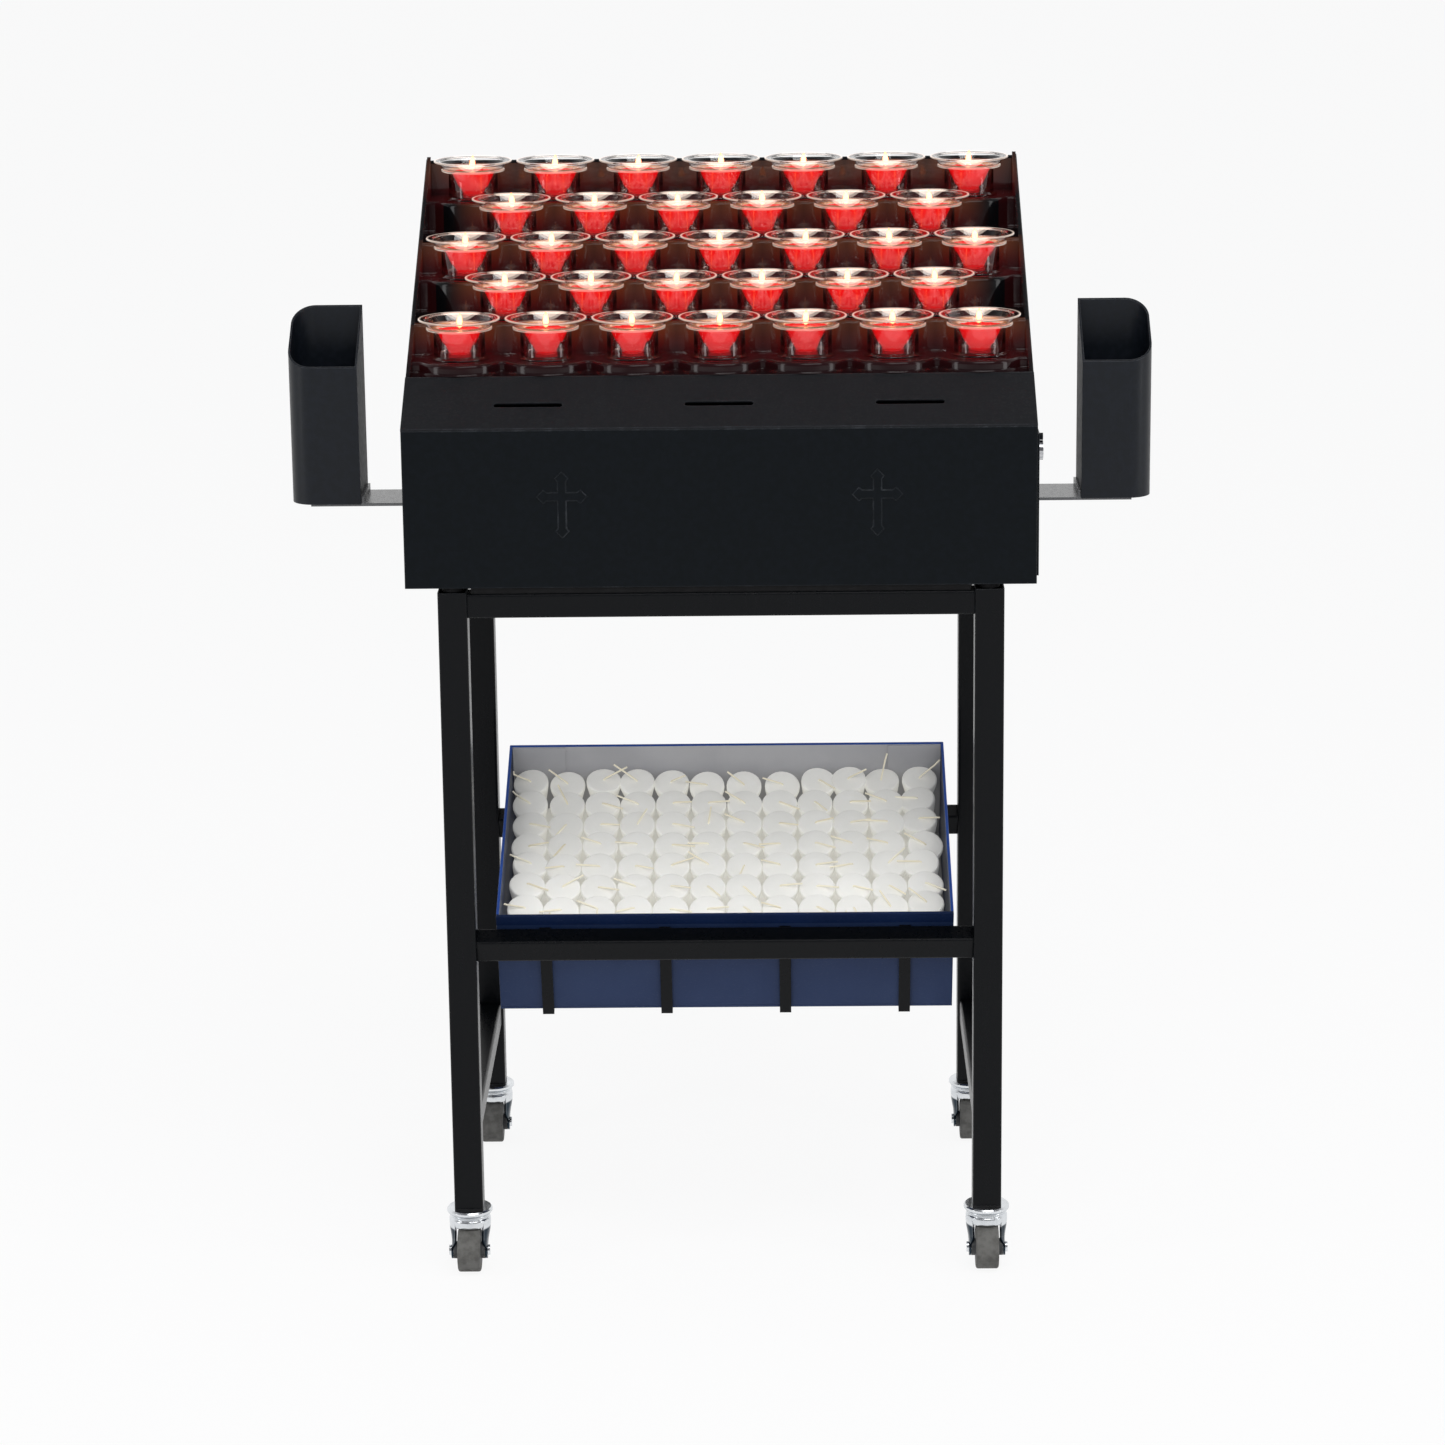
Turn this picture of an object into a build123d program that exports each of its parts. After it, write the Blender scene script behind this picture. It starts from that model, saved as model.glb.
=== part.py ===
from build123d import *
import math
import os

# A trolley for votive candles: a wedge-shaped steel box with a coin drawer in front and a stepped
# tray of 33 candles behind it, a bin on an arm at each side, and a tilted cradle for a carton of
# spare candles low in the frame, on four swivel casters.
#
# X runs across the rack, +Y is from the front to the back, +Z is up, and the floor is Z = 0.
# Depths are measured back from the front face of the box, and y_at() turns them into Y.

os.makedirs("parts", exist_ok=True)

# ---------------------------------------------------------------- driving dimensions

sheet = 2.0                     # folded steel sheet
touch = 0.3                     # gap between pieces that move past each other

box_width = 640.0
box_depth = 424.0
box_bottom = 738.0
front_height = 164.0
slope_angle = 27.5              # fall of the top towards the front
slot_panel_depth = 76.0
slot_length = 70.0
slot_width = 7.0
slot_pitch = 193.0
slot_setback = 34.0             # from the front face to the middle of the slots

cross_span = 51.0
cross_above = 25.5
cross_below = 42.5
cross_bar_height = 94.0         # above the bottom of the box
cross_offset = 159.0
cross_stroke = 8.4
cross_tip = 10.0                # length of the flared end of an arm
cross_flare = 6.8               # half the width of that end, whose point has a right angle
cross_relief = 1.0              # how far the crosses stand out of the front

cup_rows = 5
cups_in_long_row = 7
cup_pitch = 89.0
row_pitch = 66.0
row_rise = 32.0
first_row_depth = 121.5
first_riser = 11.0
scallop_fillet = 5.0
scallop_gap = 0.6               # between a cup's collar and the scallops behind it
step_lap = 4.0                  # a tread stops this far ahead of the next row's cups
hem_height = 4.0
hem_reach = 1.0                 # how far the tray's hem lies over the edge of the box
tray_wall_depth = 70.0
tray_gap = 1.0                  # between the tray's sides and the sides of the box

cup_height = 42.0
cup_foot_radius = 30.5
cup_foot_thickness = 2.6
cup_body_radius = 26.5
cup_wall = 1.6
cup_collar_radius = 34.0
cup_collar_height = 33.0        # height of the collar's top, which carries the insert
cup_collar_thickness = 2.4
insert_rim_radius = 42.0
insert_rim_thickness = 1.8
insert_wall = 1.2
insert_dish_radius = 33.0
insert_top_radius = 24.3
insert_tip_radius = 12.6
insert_tip_height = 3.6
wax_top_height = 32.4
wick_radius = 0.8
wick_top_height = 48.0
wick_sink = 12.0

drawer_width = 50.0
drawer_height = 60.0
drawer_setback = 14.0           # from the front face to the side of the drawer
drawer_floor_lift = 6.5
runner_width = 4.0
door_side_lap = 5.0
door_height = 146.0
opening_side_gap = 1.0
opening_height = 138.0
lock_height = 130.0             # above the bottom of the box
lock_body_radius = 8.0
lock_flange_radius = 10.0
lock_flange_thickness = 5.0
plug_radius = 5.5
running_gap = 0.05
cam_length = 20.0
cam_width = 10.0
key_slot_width = 1.6
knob_radius = 3.6
knob_reach = 5.0
knob_above_lock = 14.0

leg = 30.0
rail = 25.0
tube_wall = 1.5
tube_corner = 2.5
legs_width = 575.0              # over the outsides of the legs
pad_height = 5.0
pad_radius = 11.0
strip_width = 20.0              # of the rubber strips on the top rails
strip_end_gap = 4.0             # from the end of a strip to the leg
top_rail_drop = 2.0
low_rail_top = 165.0
plug_flange = 2.0
plug_depth = 34.0

cradle_angle = 20.0
carton_width = 476.0
carton_depth = 310.0
carton_height = 123.0
carton_wall = 3.0
carton_front_height = 267.0     # height of the carton's lower front edge
carton_front_depth = 68.0       # depth of that edge from the front of the box
cradle_bar_width = 12.0
cradle_bar_thickness = 4.0
cradle_bar_pitch = 125.0
cradle_rail_height = 98.0       # of the front rail's middle above the carton's bottom
carton_gap = 0.5

spare_radius = 18.8
spare_height = 85.0
spare_columns = 12
spare_column_pitch = 38.6
spare_rows = 8
spare_row_pitch = 38.0

bin_width = 72.0
bin_depth = 82.0
bin_front_height = 142.0
bin_back_height = 194.0
bin_corner = 24.0
bin_wall = 2.0
bin_spacing = 50.0              # from the side of the box to the bin
bin_setback = 85.0
bin_bottom = 808.0
arm_thickness = 3.0
arm_width = 70.0
arm_flange = 24.0
arm_stop_height = 7.0
bolt_radius = 3.0
bolt_head_radius = 5.5
bolt_head_height = 3.5
nut_radius = 5.8
nut_height = 4.0

wheel_radius = 23.0
tyre_width = 24.0
hub_radius = 15.0
hub_width = 33.0
hub_boss_radius = 9.0
axle_radius = 3.0
axle_head_radius = 5.5
axle_head_height = 2.5
fork_sheet = 2.0
fork_inside = 34.0
caster_trail = 16.0
caster_height = 66.0
fork_plate_height = 50.0
fork_crown_radius = 22.0
fork_groove_height = 55.5       # of the groove round the fork's crown
fork_groove_width = 2.4
fork_groove_depth = 2.5
stem_disc_radius = 24.0
stem_disc_thickness = 4.0
stem_radius = 5.5
spigot_radius = 5.0
spigot_head_radius = 8.0
spigot_head_thickness = 2.2

# ---------------------------------------------------------------- shared places

slope_rate = math.tan(math.radians(slope_angle))
panel_drop = sheet / math.cos(math.radians(slope_angle))   # the sheet's thickness, measured upright

front_leg_depth = leg / 2
rear_leg_depth = box_depth - leg / 2
last_row_depth = first_row_depth + (cup_rows - 1) * row_pitch
reach_back = max(last_row_depth + insert_rim_radius, rear_leg_depth + stem_disc_radius, box_depth)
reach_front = max(caster_trail + wheel_radius - front_leg_depth, 0.0)
middle_depth = (reach_back - reach_front) / 2


def y_at(depth):
    """Y of a place that is so far behind the front face of the box."""
    return depth - middle_depth


def top_at(depth):
    """Height of the sloping top at a depth."""
    return box_bottom + front_height + depth * slope_rate


half_width = box_width / 2
inner_half = half_width - sheet
tray_half = inner_half - tray_gap
step_half = tray_half - sheet
tray_front = slot_panel_depth
scallop_radius = math.hypot(cup_pitch / 2, row_pitch) - cup_collar_radius - scallop_gap
tray_base = top_at(tray_front)
first_step = tray_base + first_riser
tray_back_depth = box_depth - sheet
leg_top = box_bottom - pad_height
leg_bottom = caster_height + plug_flange
leg_x = legs_width / 2 - leg / 2
rail_span = legs_width - 2 * leg
rail_z = leg_top - top_rail_drop - rail / 2
leg_places = [(sx * leg_x, y_at(d)) for d in (front_leg_depth, rear_leg_depth) for sx in (-1, 1)]
leg_names = ["front_left", "front_right", "rear_left", "rear_right"]

cradle_plane = Plane(
    origin=(0, y_at(carton_front_depth), carton_front_height),
    x_dir=(1, 0, 0),
    z_dir=(0, -math.sin(math.radians(cradle_angle)), math.cos(math.radians(cradle_angle))),
)


def save(builder, name):
    """Labels a finished piece and writes it."""
    builder.part.label = name
    export_step(builder.part, f"parts/{name}.step")


def step_height(row):
    return first_step + row * row_rise


def row_depth(row):
    return first_row_depth + row * row_pitch


def row_places(row):
    """X of each cup in a row. Every other row is one cup shorter and sits between its neighbours."""
    count = cups_in_long_row - row % 2
    return [(i - (count - 1) / 2) * cup_pitch for i in range(count)]


cup_places = [
    (x, y_at(row_depth(row)), step_height(row)) for row in range(cup_rows) for x in row_places(row)
]

# ---------------------------------------------------------------- the box


def cross_arm(length, turn):
    """Outline of one arm of a cross, from the crossing out to a flared point."""
    half = cross_stroke / 2
    points = [
        (-half, -half),
        (length - cross_tip, -half),
        (length - cross_flare, -cross_flare),
        (length, 0),
        (length - cross_flare, cross_flare),
        (length - cross_tip, half),
        (-half, half),
    ]
    c, s = math.cos(math.radians(turn)), math.sin(math.radians(turn))
    return [(x * c - y * s, x * s + y * c) for x, y in points]


cross_arms = [(cross_span / 2, 0), (cross_above, 90), (cross_span / 2, 180), (cross_below, 270)]

with BuildPart() as box_front:
    with BuildSketch(Plane.XZ.offset(-y_at(sheet))) as front_plan:
        with Locations((0, box_bottom)):
            Rectangle(box_width, front_height - panel_drop, align=(Align.CENTER, Align.MIN))
    extrude(amount=sheet)
    fillet(box_front.edges().filter_by(Axis.Z).group_by(Axis.Y)[0], sheet * 0.7)
    with BuildSketch(Plane.XZ.offset(-y_at(0))):
        for side in (-1, 1):
            for length, turn in cross_arms:
                with BuildLine():
                    Polyline(
                        *[
                            (side * cross_offset + x, box_bottom + cross_bar_height + y)
                            for x, y in cross_arm(length, turn)
                        ],
                        close=True,
                    )
                make_face()
    extrude(amount=cross_relief)
save(box_front, "box_front")

slot_middle = (0, y_at(slot_setback), top_at(slot_setback))
slot_plane = Plane(origin=slot_middle, x_dir=(1, 0, 0), z_dir=(0, -slope_rate, 1))

with BuildPart() as slot_panel:
    with BuildSketch(Plane.YZ.offset(-half_width)):
        with BuildLine():
            Polyline(
                (y_at(0), top_at(0)),
                (y_at(slot_panel_depth), top_at(slot_panel_depth)),
                (y_at(slot_panel_depth), top_at(slot_panel_depth) - panel_drop),
                (y_at(0), top_at(0) - panel_drop),
                close=True,
            )
        make_face()
    extrude(amount=box_width)
    with BuildSketch(slot_plane):
        with GridLocations(slot_pitch, 0, 3, 1):
            SlotOverall(slot_length, slot_width)
    extrude(amount=2 * sheet, both=True, mode=Mode.SUBTRACT)
save(slot_panel, "slot_panel")

drawer_low = box_bottom + drawer_floor_lift
door_low = drawer_low
opening_low = drawer_low - 0.5
drawer_back_depth = drawer_setback + drawer_width
bin_middle_depth = bin_setback + bin_depth / 2
arm_top = bin_bottom
arm_bolt_z = arm_top - (arm_flange + arm_thickness) / 2
arm_bolt_pitch = arm_width - 24.0


def box_side(side):
    """One wedge-shaped side of the box. The right one has the drawer's opening."""
    low = box_bottom
    with BuildPart() as panel:
        start = inner_half if side > 0 else -half_width
        with BuildSketch(Plane.YZ.offset(start)):
            with BuildLine():
                Polyline(
                    (y_at(sheet), low),
                    (y_at(box_depth), low),
                    (y_at(box_depth), top_at(box_depth) - hem_height),
                    (y_at(slot_panel_depth), top_at(slot_panel_depth) - hem_height),
                    (y_at(slot_panel_depth), top_at(slot_panel_depth) - panel_drop),
                    (y_at(sheet), top_at(sheet) - panel_drop),
                    close=True,
                )
            make_face()
            with Locations((y_at(bin_middle_depth), arm_bolt_z)):
                with GridLocations(arm_bolt_pitch, 0, 2, 1):
                    Circle(bolt_radius + touch, mode=Mode.SUBTRACT)
            if side > 0:
                with Locations((y_at(drawer_setback - opening_side_gap), opening_low)):
                    Rectangle(
                        drawer_width + 2 * opening_side_gap,
                        opening_height,
                        align=(Align.MIN, Align.MIN),
                        mode=Mode.SUBTRACT,
                    )
        extrude(amount=sheet)
    return panel


save(box_side(-1), "box_side_left")
save(box_side(1), "box_side_right")

with BuildPart() as box_back:
    with BuildSketch(Plane.XZ.offset(-y_at(box_depth))):
        with Locations((0, box_bottom)):
            Rectangle(
                2 * inner_half,
                top_at(tray_back_depth) - hem_height - box_bottom,
                align=(Align.CENTER, Align.MIN),
            )
    extrude(amount=sheet)
save(box_back, "box_back")

runner_places = [drawer_setback + runner_width, drawer_back_depth - runner_width]

with BuildPart() as box_floor:
    with BuildSketch(Plane.XY.offset(box_bottom)):
        with Locations((0, y_at(sheet))):
            Rectangle(2 * inner_half, box_depth - 2 * sheet, align=(Align.CENTER, Align.MIN))
    extrude(amount=sheet)
    with BuildSketch(Plane.XY.offset(box_bottom + sheet)):
        with Locations(*[(0, y_at(depth)) for depth in runner_places]):
            Rectangle(2 * inner_half - 20, runner_width)
    extrude(amount=drawer_floor_lift - sheet - touch)
save(box_floor, "box_floor")

with BuildPart() as coin_partition:
    with BuildSketch(Plane.YZ.offset(-inner_half)):
        with BuildLine():
            Polyline(
                (y_at(slot_panel_depth - sheet), box_bottom + sheet),
                (y_at(slot_panel_depth), box_bottom + sheet),
                (y_at(slot_panel_depth), top_at(slot_panel_depth) - panel_drop),
                (y_at(slot_panel_depth - sheet), top_at(slot_panel_depth - sheet) - panel_drop),
                close=True,
            )
        make_face()
    extrude(amount=2 * inner_half)
save(coin_partition, "coin_partition")

# ---------------------------------------------------------------- the coin drawer and its lock

door_inner = half_width + touch
door_outer = door_inner + sheet
drawer_left = -inner_half + 4.0
lock_depth = drawer_setback + drawer_width / 2
lock_z = box_bottom + lock_height
lock_axis = (0, y_at(lock_depth), lock_z)
cam_outer = inner_half - 1.0

with BuildPart() as coin_drawer:
    with BuildSketch(Plane.XY.offset(drawer_low)):
        with Locations((drawer_left, y_at(drawer_setback))):
            Rectangle(door_inner - drawer_left, drawer_width, align=(Align.MIN, Align.MIN))
    extrude(amount=drawer_height)
    with BuildSketch(Plane.XY.offset(drawer_low + sheet)):
        with Locations((drawer_left + sheet, y_at(drawer_setback + sheet))):
            Rectangle(
                door_inner - drawer_left - sheet,
                drawer_width - 2 * sheet,
                align=(Align.MIN, Align.MIN),
            )
    extrude(amount=drawer_height, mode=Mode.SUBTRACT)
    with BuildSketch(Plane.YZ.offset(door_inner)):
        with Locations((y_at(lock_depth), door_low)):
            Rectangle(drawer_width + 2 * door_side_lap, door_height, align=(Align.CENTER, Align.MIN))
        with Locations((y_at(lock_depth), lock_z)):
            Circle(lock_body_radius, mode=Mode.SUBTRACT)
    extrude(amount=sheet)
    with BuildSketch(Plane.YZ.offset(door_outer)):
        with Locations((y_at(lock_depth), lock_z + knob_above_lock)):
            Circle(knob_radius)
    extrude(amount=knob_reach)
save(coin_drawer, "coin_drawer")

with BuildPart() as lock_body:
    with BuildSketch(Plane.YZ.offset(cam_outer)):
        with Locations(lock_axis[1:]):
            Circle(lock_body_radius)
    extrude(amount=door_outer - cam_outer)
    with BuildSketch(Plane.YZ.offset(door_outer)):
        with Locations(lock_axis[1:]):
            Circle(lock_flange_radius)
    extrude(amount=lock_flange_thickness)
    with BuildSketch(Plane.YZ.offset(cam_outer)):
        with Locations(lock_axis[1:]):
            Circle(plug_radius + running_gap)
    extrude(amount=door_outer + lock_flange_thickness - cam_outer, mode=Mode.SUBTRACT)
save(lock_body, "lock_body")

plug_face = door_outer + lock_flange_thickness + 0.4

with BuildPart() as lock_plug:
    with BuildSketch(Plane.YZ.offset(cam_outer - sheet)):
        with Locations(lock_axis[1:]):
            Circle(plug_radius)
    extrude(amount=plug_face - cam_outer + sheet)
    with BuildSketch(Plane.YZ.offset(plug_face)):
        with Locations(lock_axis[1:]):
            Rectangle(key_slot_width, plug_radius)
    extrude(amount=-4.0, mode=Mode.SUBTRACT)
    with BuildSketch(Plane.YZ.offset(cam_outer - touch)):
        with Locations(lock_axis[1:]):
            Circle(cam_width / 2 + 2)
            Rectangle(cam_length, cam_width, align=(Align.MIN, Align.CENTER))
    extrude(amount=-sheet)
save(lock_plug, "lock_plug")

# ---------------------------------------------------------------- the stepped tray


def step_outline(row):
    """Draws a step from above in the current sketch: a strip with a rounded bulge under each cup."""
    middle = y_at(row_depth(row))
    last = row == cup_rows - 1
    back_depth = tray_back_depth - sheet if last else row_depth(row + 1) - step_lap
    reach = scallop_radius + scallop_fillet
    notch = math.sqrt(reach**2 - (cup_pitch / 2) ** 2)
    places = row_places(row)
    between = [x + cup_pitch / 2 for x in places[:-1]]
    if row % 2:
        places = [places[0] - cup_pitch, *places, places[-1] + cup_pitch]
        between = [between[0] - cup_pitch, *between, between[-1] + cup_pitch]
    touch_y = notch * scallop_radius / reach
    with Locations((0, middle - touch_y)):
        Rectangle(
            2 * (step_half + cup_pitch),
            y_at(back_depth) - middle + touch_y,
            align=(Align.CENTER, Align.MIN),
        )
    with Locations(*[(x, middle) for x in places]):
        Circle(scallop_radius)
    with Locations(*[(x, middle - notch) for x in between]):
        Circle(scallop_fillet, mode=Mode.SUBTRACT)
    with Locations((0, middle - scallop_radius)):
        Rectangle(
            2 * step_half,
            y_at(back_depth) - middle + scallop_radius,
            align=(Align.CENTER, Align.MIN),
            mode=Mode.INTERSECT,
        )


def riser_wall(row):
    """The riser from above: the front of the step's outline, as thick as the sheet."""
    middle = y_at(row_depth(row))
    with BuildSketch() as wall:
        step_outline(row)
        offset(amount=-sheet, mode=Mode.SUBTRACT)
        with Locations((0, middle)):
            Rectangle(
                3 * step_half,
                2 * scallop_radius,
                align=(Align.CENTER, Align.MAX),
                mode=Mode.INTERSECT,
            )
    return wall.sketch


def tray_step(row):
    """One step: a flat tread with a scalloped front edge, and the fluted riser below that edge."""
    top = step_height(row)
    foot = step_height(row - 1) if row else tray_base
    with BuildPart() as step:
        with BuildSketch(Plane.XY.offset(foot)):
            add(riser_wall(row))
        extrude(amount=top - foot)
        with BuildSketch(Plane.XY.offset(top - sheet)):
            step_outline(row)
        extrude(amount=sheet)
        if row == 0:
            with BuildSketch(Plane.XY.offset(foot - sheet)):
                with Locations((0, y_at(tray_front) + touch)):
                    Rectangle(2 * step_half, row_depth(0) - tray_front, align=(Align.CENTER, Align.MIN))
            extrude(amount=sheet)
    return step


for row in range(cup_rows):
    save(tray_step(row), f"tray_step_{row + 1}")


def tray_side(side):
    """A side wall of the tray, with a hem that lies on the edge of the box."""
    hem_width = inner_half + hem_reach - step_half
    wall = step_half if side > 0 else -tray_half
    hem = step_half if side > 0 else -step_half - hem_width
    front, back = tray_front + touch, tray_back_depth
    with BuildPart() as panel:
        with BuildSketch(Plane.YZ.offset(wall)):
            with BuildLine():
                Polyline(
                    (y_at(front), top_at(front)),
                    (y_at(back), top_at(back)),
                    (y_at(back), top_at(back) - tray_wall_depth),
                    (y_at(front), top_at(front) - tray_wall_depth),
                    close=True,
                )
            make_face()
        extrude(amount=sheet)
        with BuildSketch(Plane.YZ.offset(hem)):
            with BuildLine():
                Polyline(
                    (y_at(front), top_at(front)),
                    (y_at(back), top_at(back)),
                    (y_at(back), top_at(back) - hem_height),
                    (y_at(front), top_at(front) - hem_height),
                    close=True,
                )
            make_face()
        extrude(amount=hem_width)
    return panel


save(tray_side(-1), "tray_side_left")
save(tray_side(1), "tray_side_right")

tray_back_top = step_height(cup_rows - 1) + cup_collar_height + hem_reach

with BuildPart() as tray_back:
    with BuildSketch(Plane.XZ.offset(-y_at(tray_back_depth))):
        with Locations((0, tray_back_top)):
            Rectangle(2 * step_half, tray_wall_depth, align=(Align.CENTER, Align.MAX))
    extrude(amount=sheet)
save(tray_back, "tray_back")

# ---------------------------------------------------------------- cups, wax and wicks


def turned(outline):
    """A round solid from its outline of (radius, height) pairs about the Z axis."""
    with BuildPart() as solid:
        with BuildSketch(Plane.XZ):
            with BuildLine():
                Polyline(*outline, close=True)
            make_face()
        revolve(axis=Axis.Z)
    return solid.part


def repeated(solid, places):
    """The same solid at each place, as one piece with separate solids."""
    with BuildPart() as group:
        with Locations(*places):
            add(solid)
    return group


cup_bore = cup_body_radius - cup_wall
collar_low = cup_collar_height - cup_collar_thickness
cup = turned(
    [
        (0, 0),
        (cup_foot_radius, 0),
        (cup_foot_radius, cup_foot_thickness),
        (cup_body_radius, cup_foot_thickness),
        (cup_body_radius, collar_low),
        (cup_collar_radius, collar_low),
        (cup_collar_radius, cup_collar_height),
        (cup_bore, cup_collar_height),
        (cup_bore, cup_foot_thickness),
        (0, cup_foot_thickness),
    ]
)
save(repeated(cup, cup_places), "candle_cups")

dish_low = cup_collar_height
dish_top = dish_low + insert_wall
rim_low = cup_height - insert_rim_thickness
cone_run = (insert_top_radius - insert_tip_radius) / (dish_low - insert_tip_height)


def cone_radius(height):
    """Outer radius of the insert's cone at a height above the cup's foot."""
    return insert_tip_radius + (height - insert_tip_height) * cone_run


insert = turned(
    [
        (0, insert_tip_height),
        (insert_tip_radius, insert_tip_height),
        (insert_top_radius, dish_low),
        (insert_dish_radius, dish_low),
        (insert_dish_radius + 3.4, rim_low),
        (insert_rim_radius, rim_low),
        (insert_rim_radius, cup_height),
        (insert_dish_radius + 2.4, cup_height),
        (insert_dish_radius - 1.0, dish_top),
        (cone_radius(dish_top) - insert_wall, dish_top),
        (cone_radius(insert_tip_height + insert_wall) - insert_wall, insert_tip_height + insert_wall),
        (0, insert_tip_height + insert_wall),
    ]
)
save(repeated(insert, cup_places), "cup_inserts")

wax_low = insert_tip_height + insert_wall
wax = turned(
    [
        (0, wax_low),
        (cone_radius(wax_low) - insert_wall, wax_low),
        (cone_radius(wax_top_height) - insert_wall, wax_top_height),
        (wick_radius, wax_top_height),
        (wick_radius, wax_top_height - wick_sink),
        (0, wax_top_height - wick_sink),
    ]
)
save(repeated(wax, cup_places), "candle_wax")

wick_low = wax_top_height - wick_sink
wick = turned(
    [(0, wick_low), (wick_radius, wick_low), (wick_radius, wick_top_height), (0, wick_top_height)]
)
save(repeated(wick, cup_places), "candle_wicks")

# ---------------------------------------------------------------- the frame


def tube_section(width):
    """Draws a square tube's section, with rounded corners, in the current sketch."""
    RectangleRounded(width, width, tube_corner)
    inside = width - 2 * tube_wall
    RectangleRounded(inside, inside, tube_corner - tube_wall, mode=Mode.SUBTRACT)


for name, (x, y) in zip(leg_names, leg_places):
    with BuildPart() as post:
        with BuildSketch(Plane.XY.offset(leg_bottom)):
            with Locations((x, y)):
                tube_section(leg)
        extrude(amount=leg_top - leg_bottom)
    save(post, f"leg_{name}")


def cross_rail(y, z):
    """A rail from a left leg to a right leg."""
    with BuildPart() as tube:
        with BuildSketch(Plane.YZ.offset(-rail_span / 2)):
            with Locations((y, z)):
                tube_section(rail)
        extrude(amount=rail_span)
    return tube


def side_rails(z):
    """A pair of rails from the front legs to the rear legs, one on each side."""
    front, back = y_at(front_leg_depth + leg / 2), y_at(rear_leg_depth - leg / 2)
    with BuildPart() as tubes:
        with BuildSketch(Plane.XZ.offset(-back)):
            with Locations((-leg_x, z), (leg_x, z)):
                tube_section(rail)
        extrude(amount=back - front)
    return tubes


save(cross_rail(y_at(front_leg_depth), rail_z), "top_rail_front")
save(cross_rail(y_at(rear_leg_depth), rail_z), "top_rail_rear")
save(side_rails(rail_z), "top_side_rails")
save(side_rails(low_rail_top - rail / 2), "low_side_rails")

cross_strip = rail_span - 2 * strip_end_gap
side_strip = y_at(rear_leg_depth) - y_at(front_leg_depth) - leg - 2 * strip_end_gap
with BuildPart() as box_pads:
    with BuildSketch(Plane.XY.offset(leg_top)):
        with Locations(*leg_places):
            Circle(pad_radius)
    extrude(amount=pad_height)
    with BuildSketch(Plane.XY.offset(leg_top - top_rail_drop)):
        with Locations((0, y_at(front_leg_depth)), (0, y_at(rear_leg_depth))):
            Rectangle(cross_strip, strip_width)
        with Locations((-leg_x, y_at(box_depth / 2)), (leg_x, y_at(box_depth / 2))):
            Rectangle(strip_width, side_strip)
    extrude(amount=pad_height + top_rail_drop)
save(box_pads, "box_pads")

plug_side = leg - 2 * tube_wall - 0.2
with BuildPart() as leg_plugs:
    with BuildSketch(Plane.XY.offset(caster_height)):
        with Locations(*leg_places):
            RectangleRounded(leg, leg, tube_corner)
    extrude(amount=plug_flange)
    with BuildSketch(Plane.XY.offset(leg_bottom)):
        with Locations(*leg_places):
            RectangleRounded(plug_side, plug_side, tube_corner - tube_wall)
    extrude(amount=plug_depth)
    with BuildSketch(Plane.XY.offset(caster_height)):
        with Locations(*leg_places):
            Circle(stem_radius)
    extrude(amount=plug_depth + plug_flange, mode=Mode.SUBTRACT)
save(leg_plugs, "leg_plugs")

# ---------------------------------------------------------------- the cradle and the carton

cradle_rise = math.sin(math.radians(cradle_angle))
cradle_run = math.cos(math.radians(cradle_angle))


def cradle_point(along, above):
    """Y and Z of a place in the cradle, along its slope and square to it."""
    return (
        y_at(carton_front_depth) + along * cradle_run - above * cradle_rise,
        carton_front_height + along * cradle_rise + above * cradle_run,
    )


def cradle_rail(along, above):
    """A tilted square tube across the cradle."""
    with BuildPart() as tube:
        with BuildSketch(Plane.YZ.offset(-rail_span / 2)):
            with Locations(Location((*cradle_point(along, above), 0), (0, 0, cradle_angle))):
                tube_section(rail)
        extrude(amount=rail_span)
    return tube


front_rail_along = -carton_gap - cradle_bar_thickness - rail / 2
rear_rail_above = -cradle_bar_thickness - rail / 2
rear_leg_y = y_at(rear_leg_depth)
rear_rail_along = (
    rear_leg_y - y_at(carton_front_depth) + rear_rail_above * cradle_rise
) / cradle_run
save(cradle_rail(front_rail_along, cradle_rail_height), "cradle_rail_front")
save(cradle_rail(rear_rail_along, rear_rail_above), "cradle_rail_rear")

bar_inside = cradle_bar_thickness
bar_back = rear_rail_along + rail / 2
bar_front = -carton_gap
bar_top = cradle_rail_height + rail / 2 - tube_corner
with BuildPart() as cradle_bars:
    for i in range(4):
        x = (i - 1.5) * cradle_bar_pitch
        with BuildSketch(Plane.YZ.offset(x - cradle_bar_width / 2)):
            with BuildLine():
                Polyline(
                    cradle_point(bar_back, 0),
                    cradle_point(bar_front, 0),
                    cradle_point(bar_front, bar_top),
                    cradle_point(bar_front - bar_inside, bar_top),
                    cradle_point(bar_front - bar_inside, -bar_inside),
                    cradle_point(bar_back, -bar_inside),
                    close=True,
                )
            make_face()
        extrude(amount=cradle_bar_width)
save(cradle_bars, "cradle_bars")

with BuildPart() as carton:
    with BuildSketch(cradle_plane):
        with Locations((0, 0)):
            Rectangle(carton_width, carton_depth, align=(Align.CENTER, Align.MIN))
    extrude(amount=carton_height)
    with BuildSketch(cradle_plane.offset(carton_wall)):
        with Locations((0, carton_wall)):
            Rectangle(
                carton_width - 2 * carton_wall,
                carton_depth - 2 * carton_wall,
                align=(Align.CENTER, Align.MIN),
            )
    extrude(amount=carton_height, mode=Mode.SUBTRACT)
save(carton, "carton")

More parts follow.
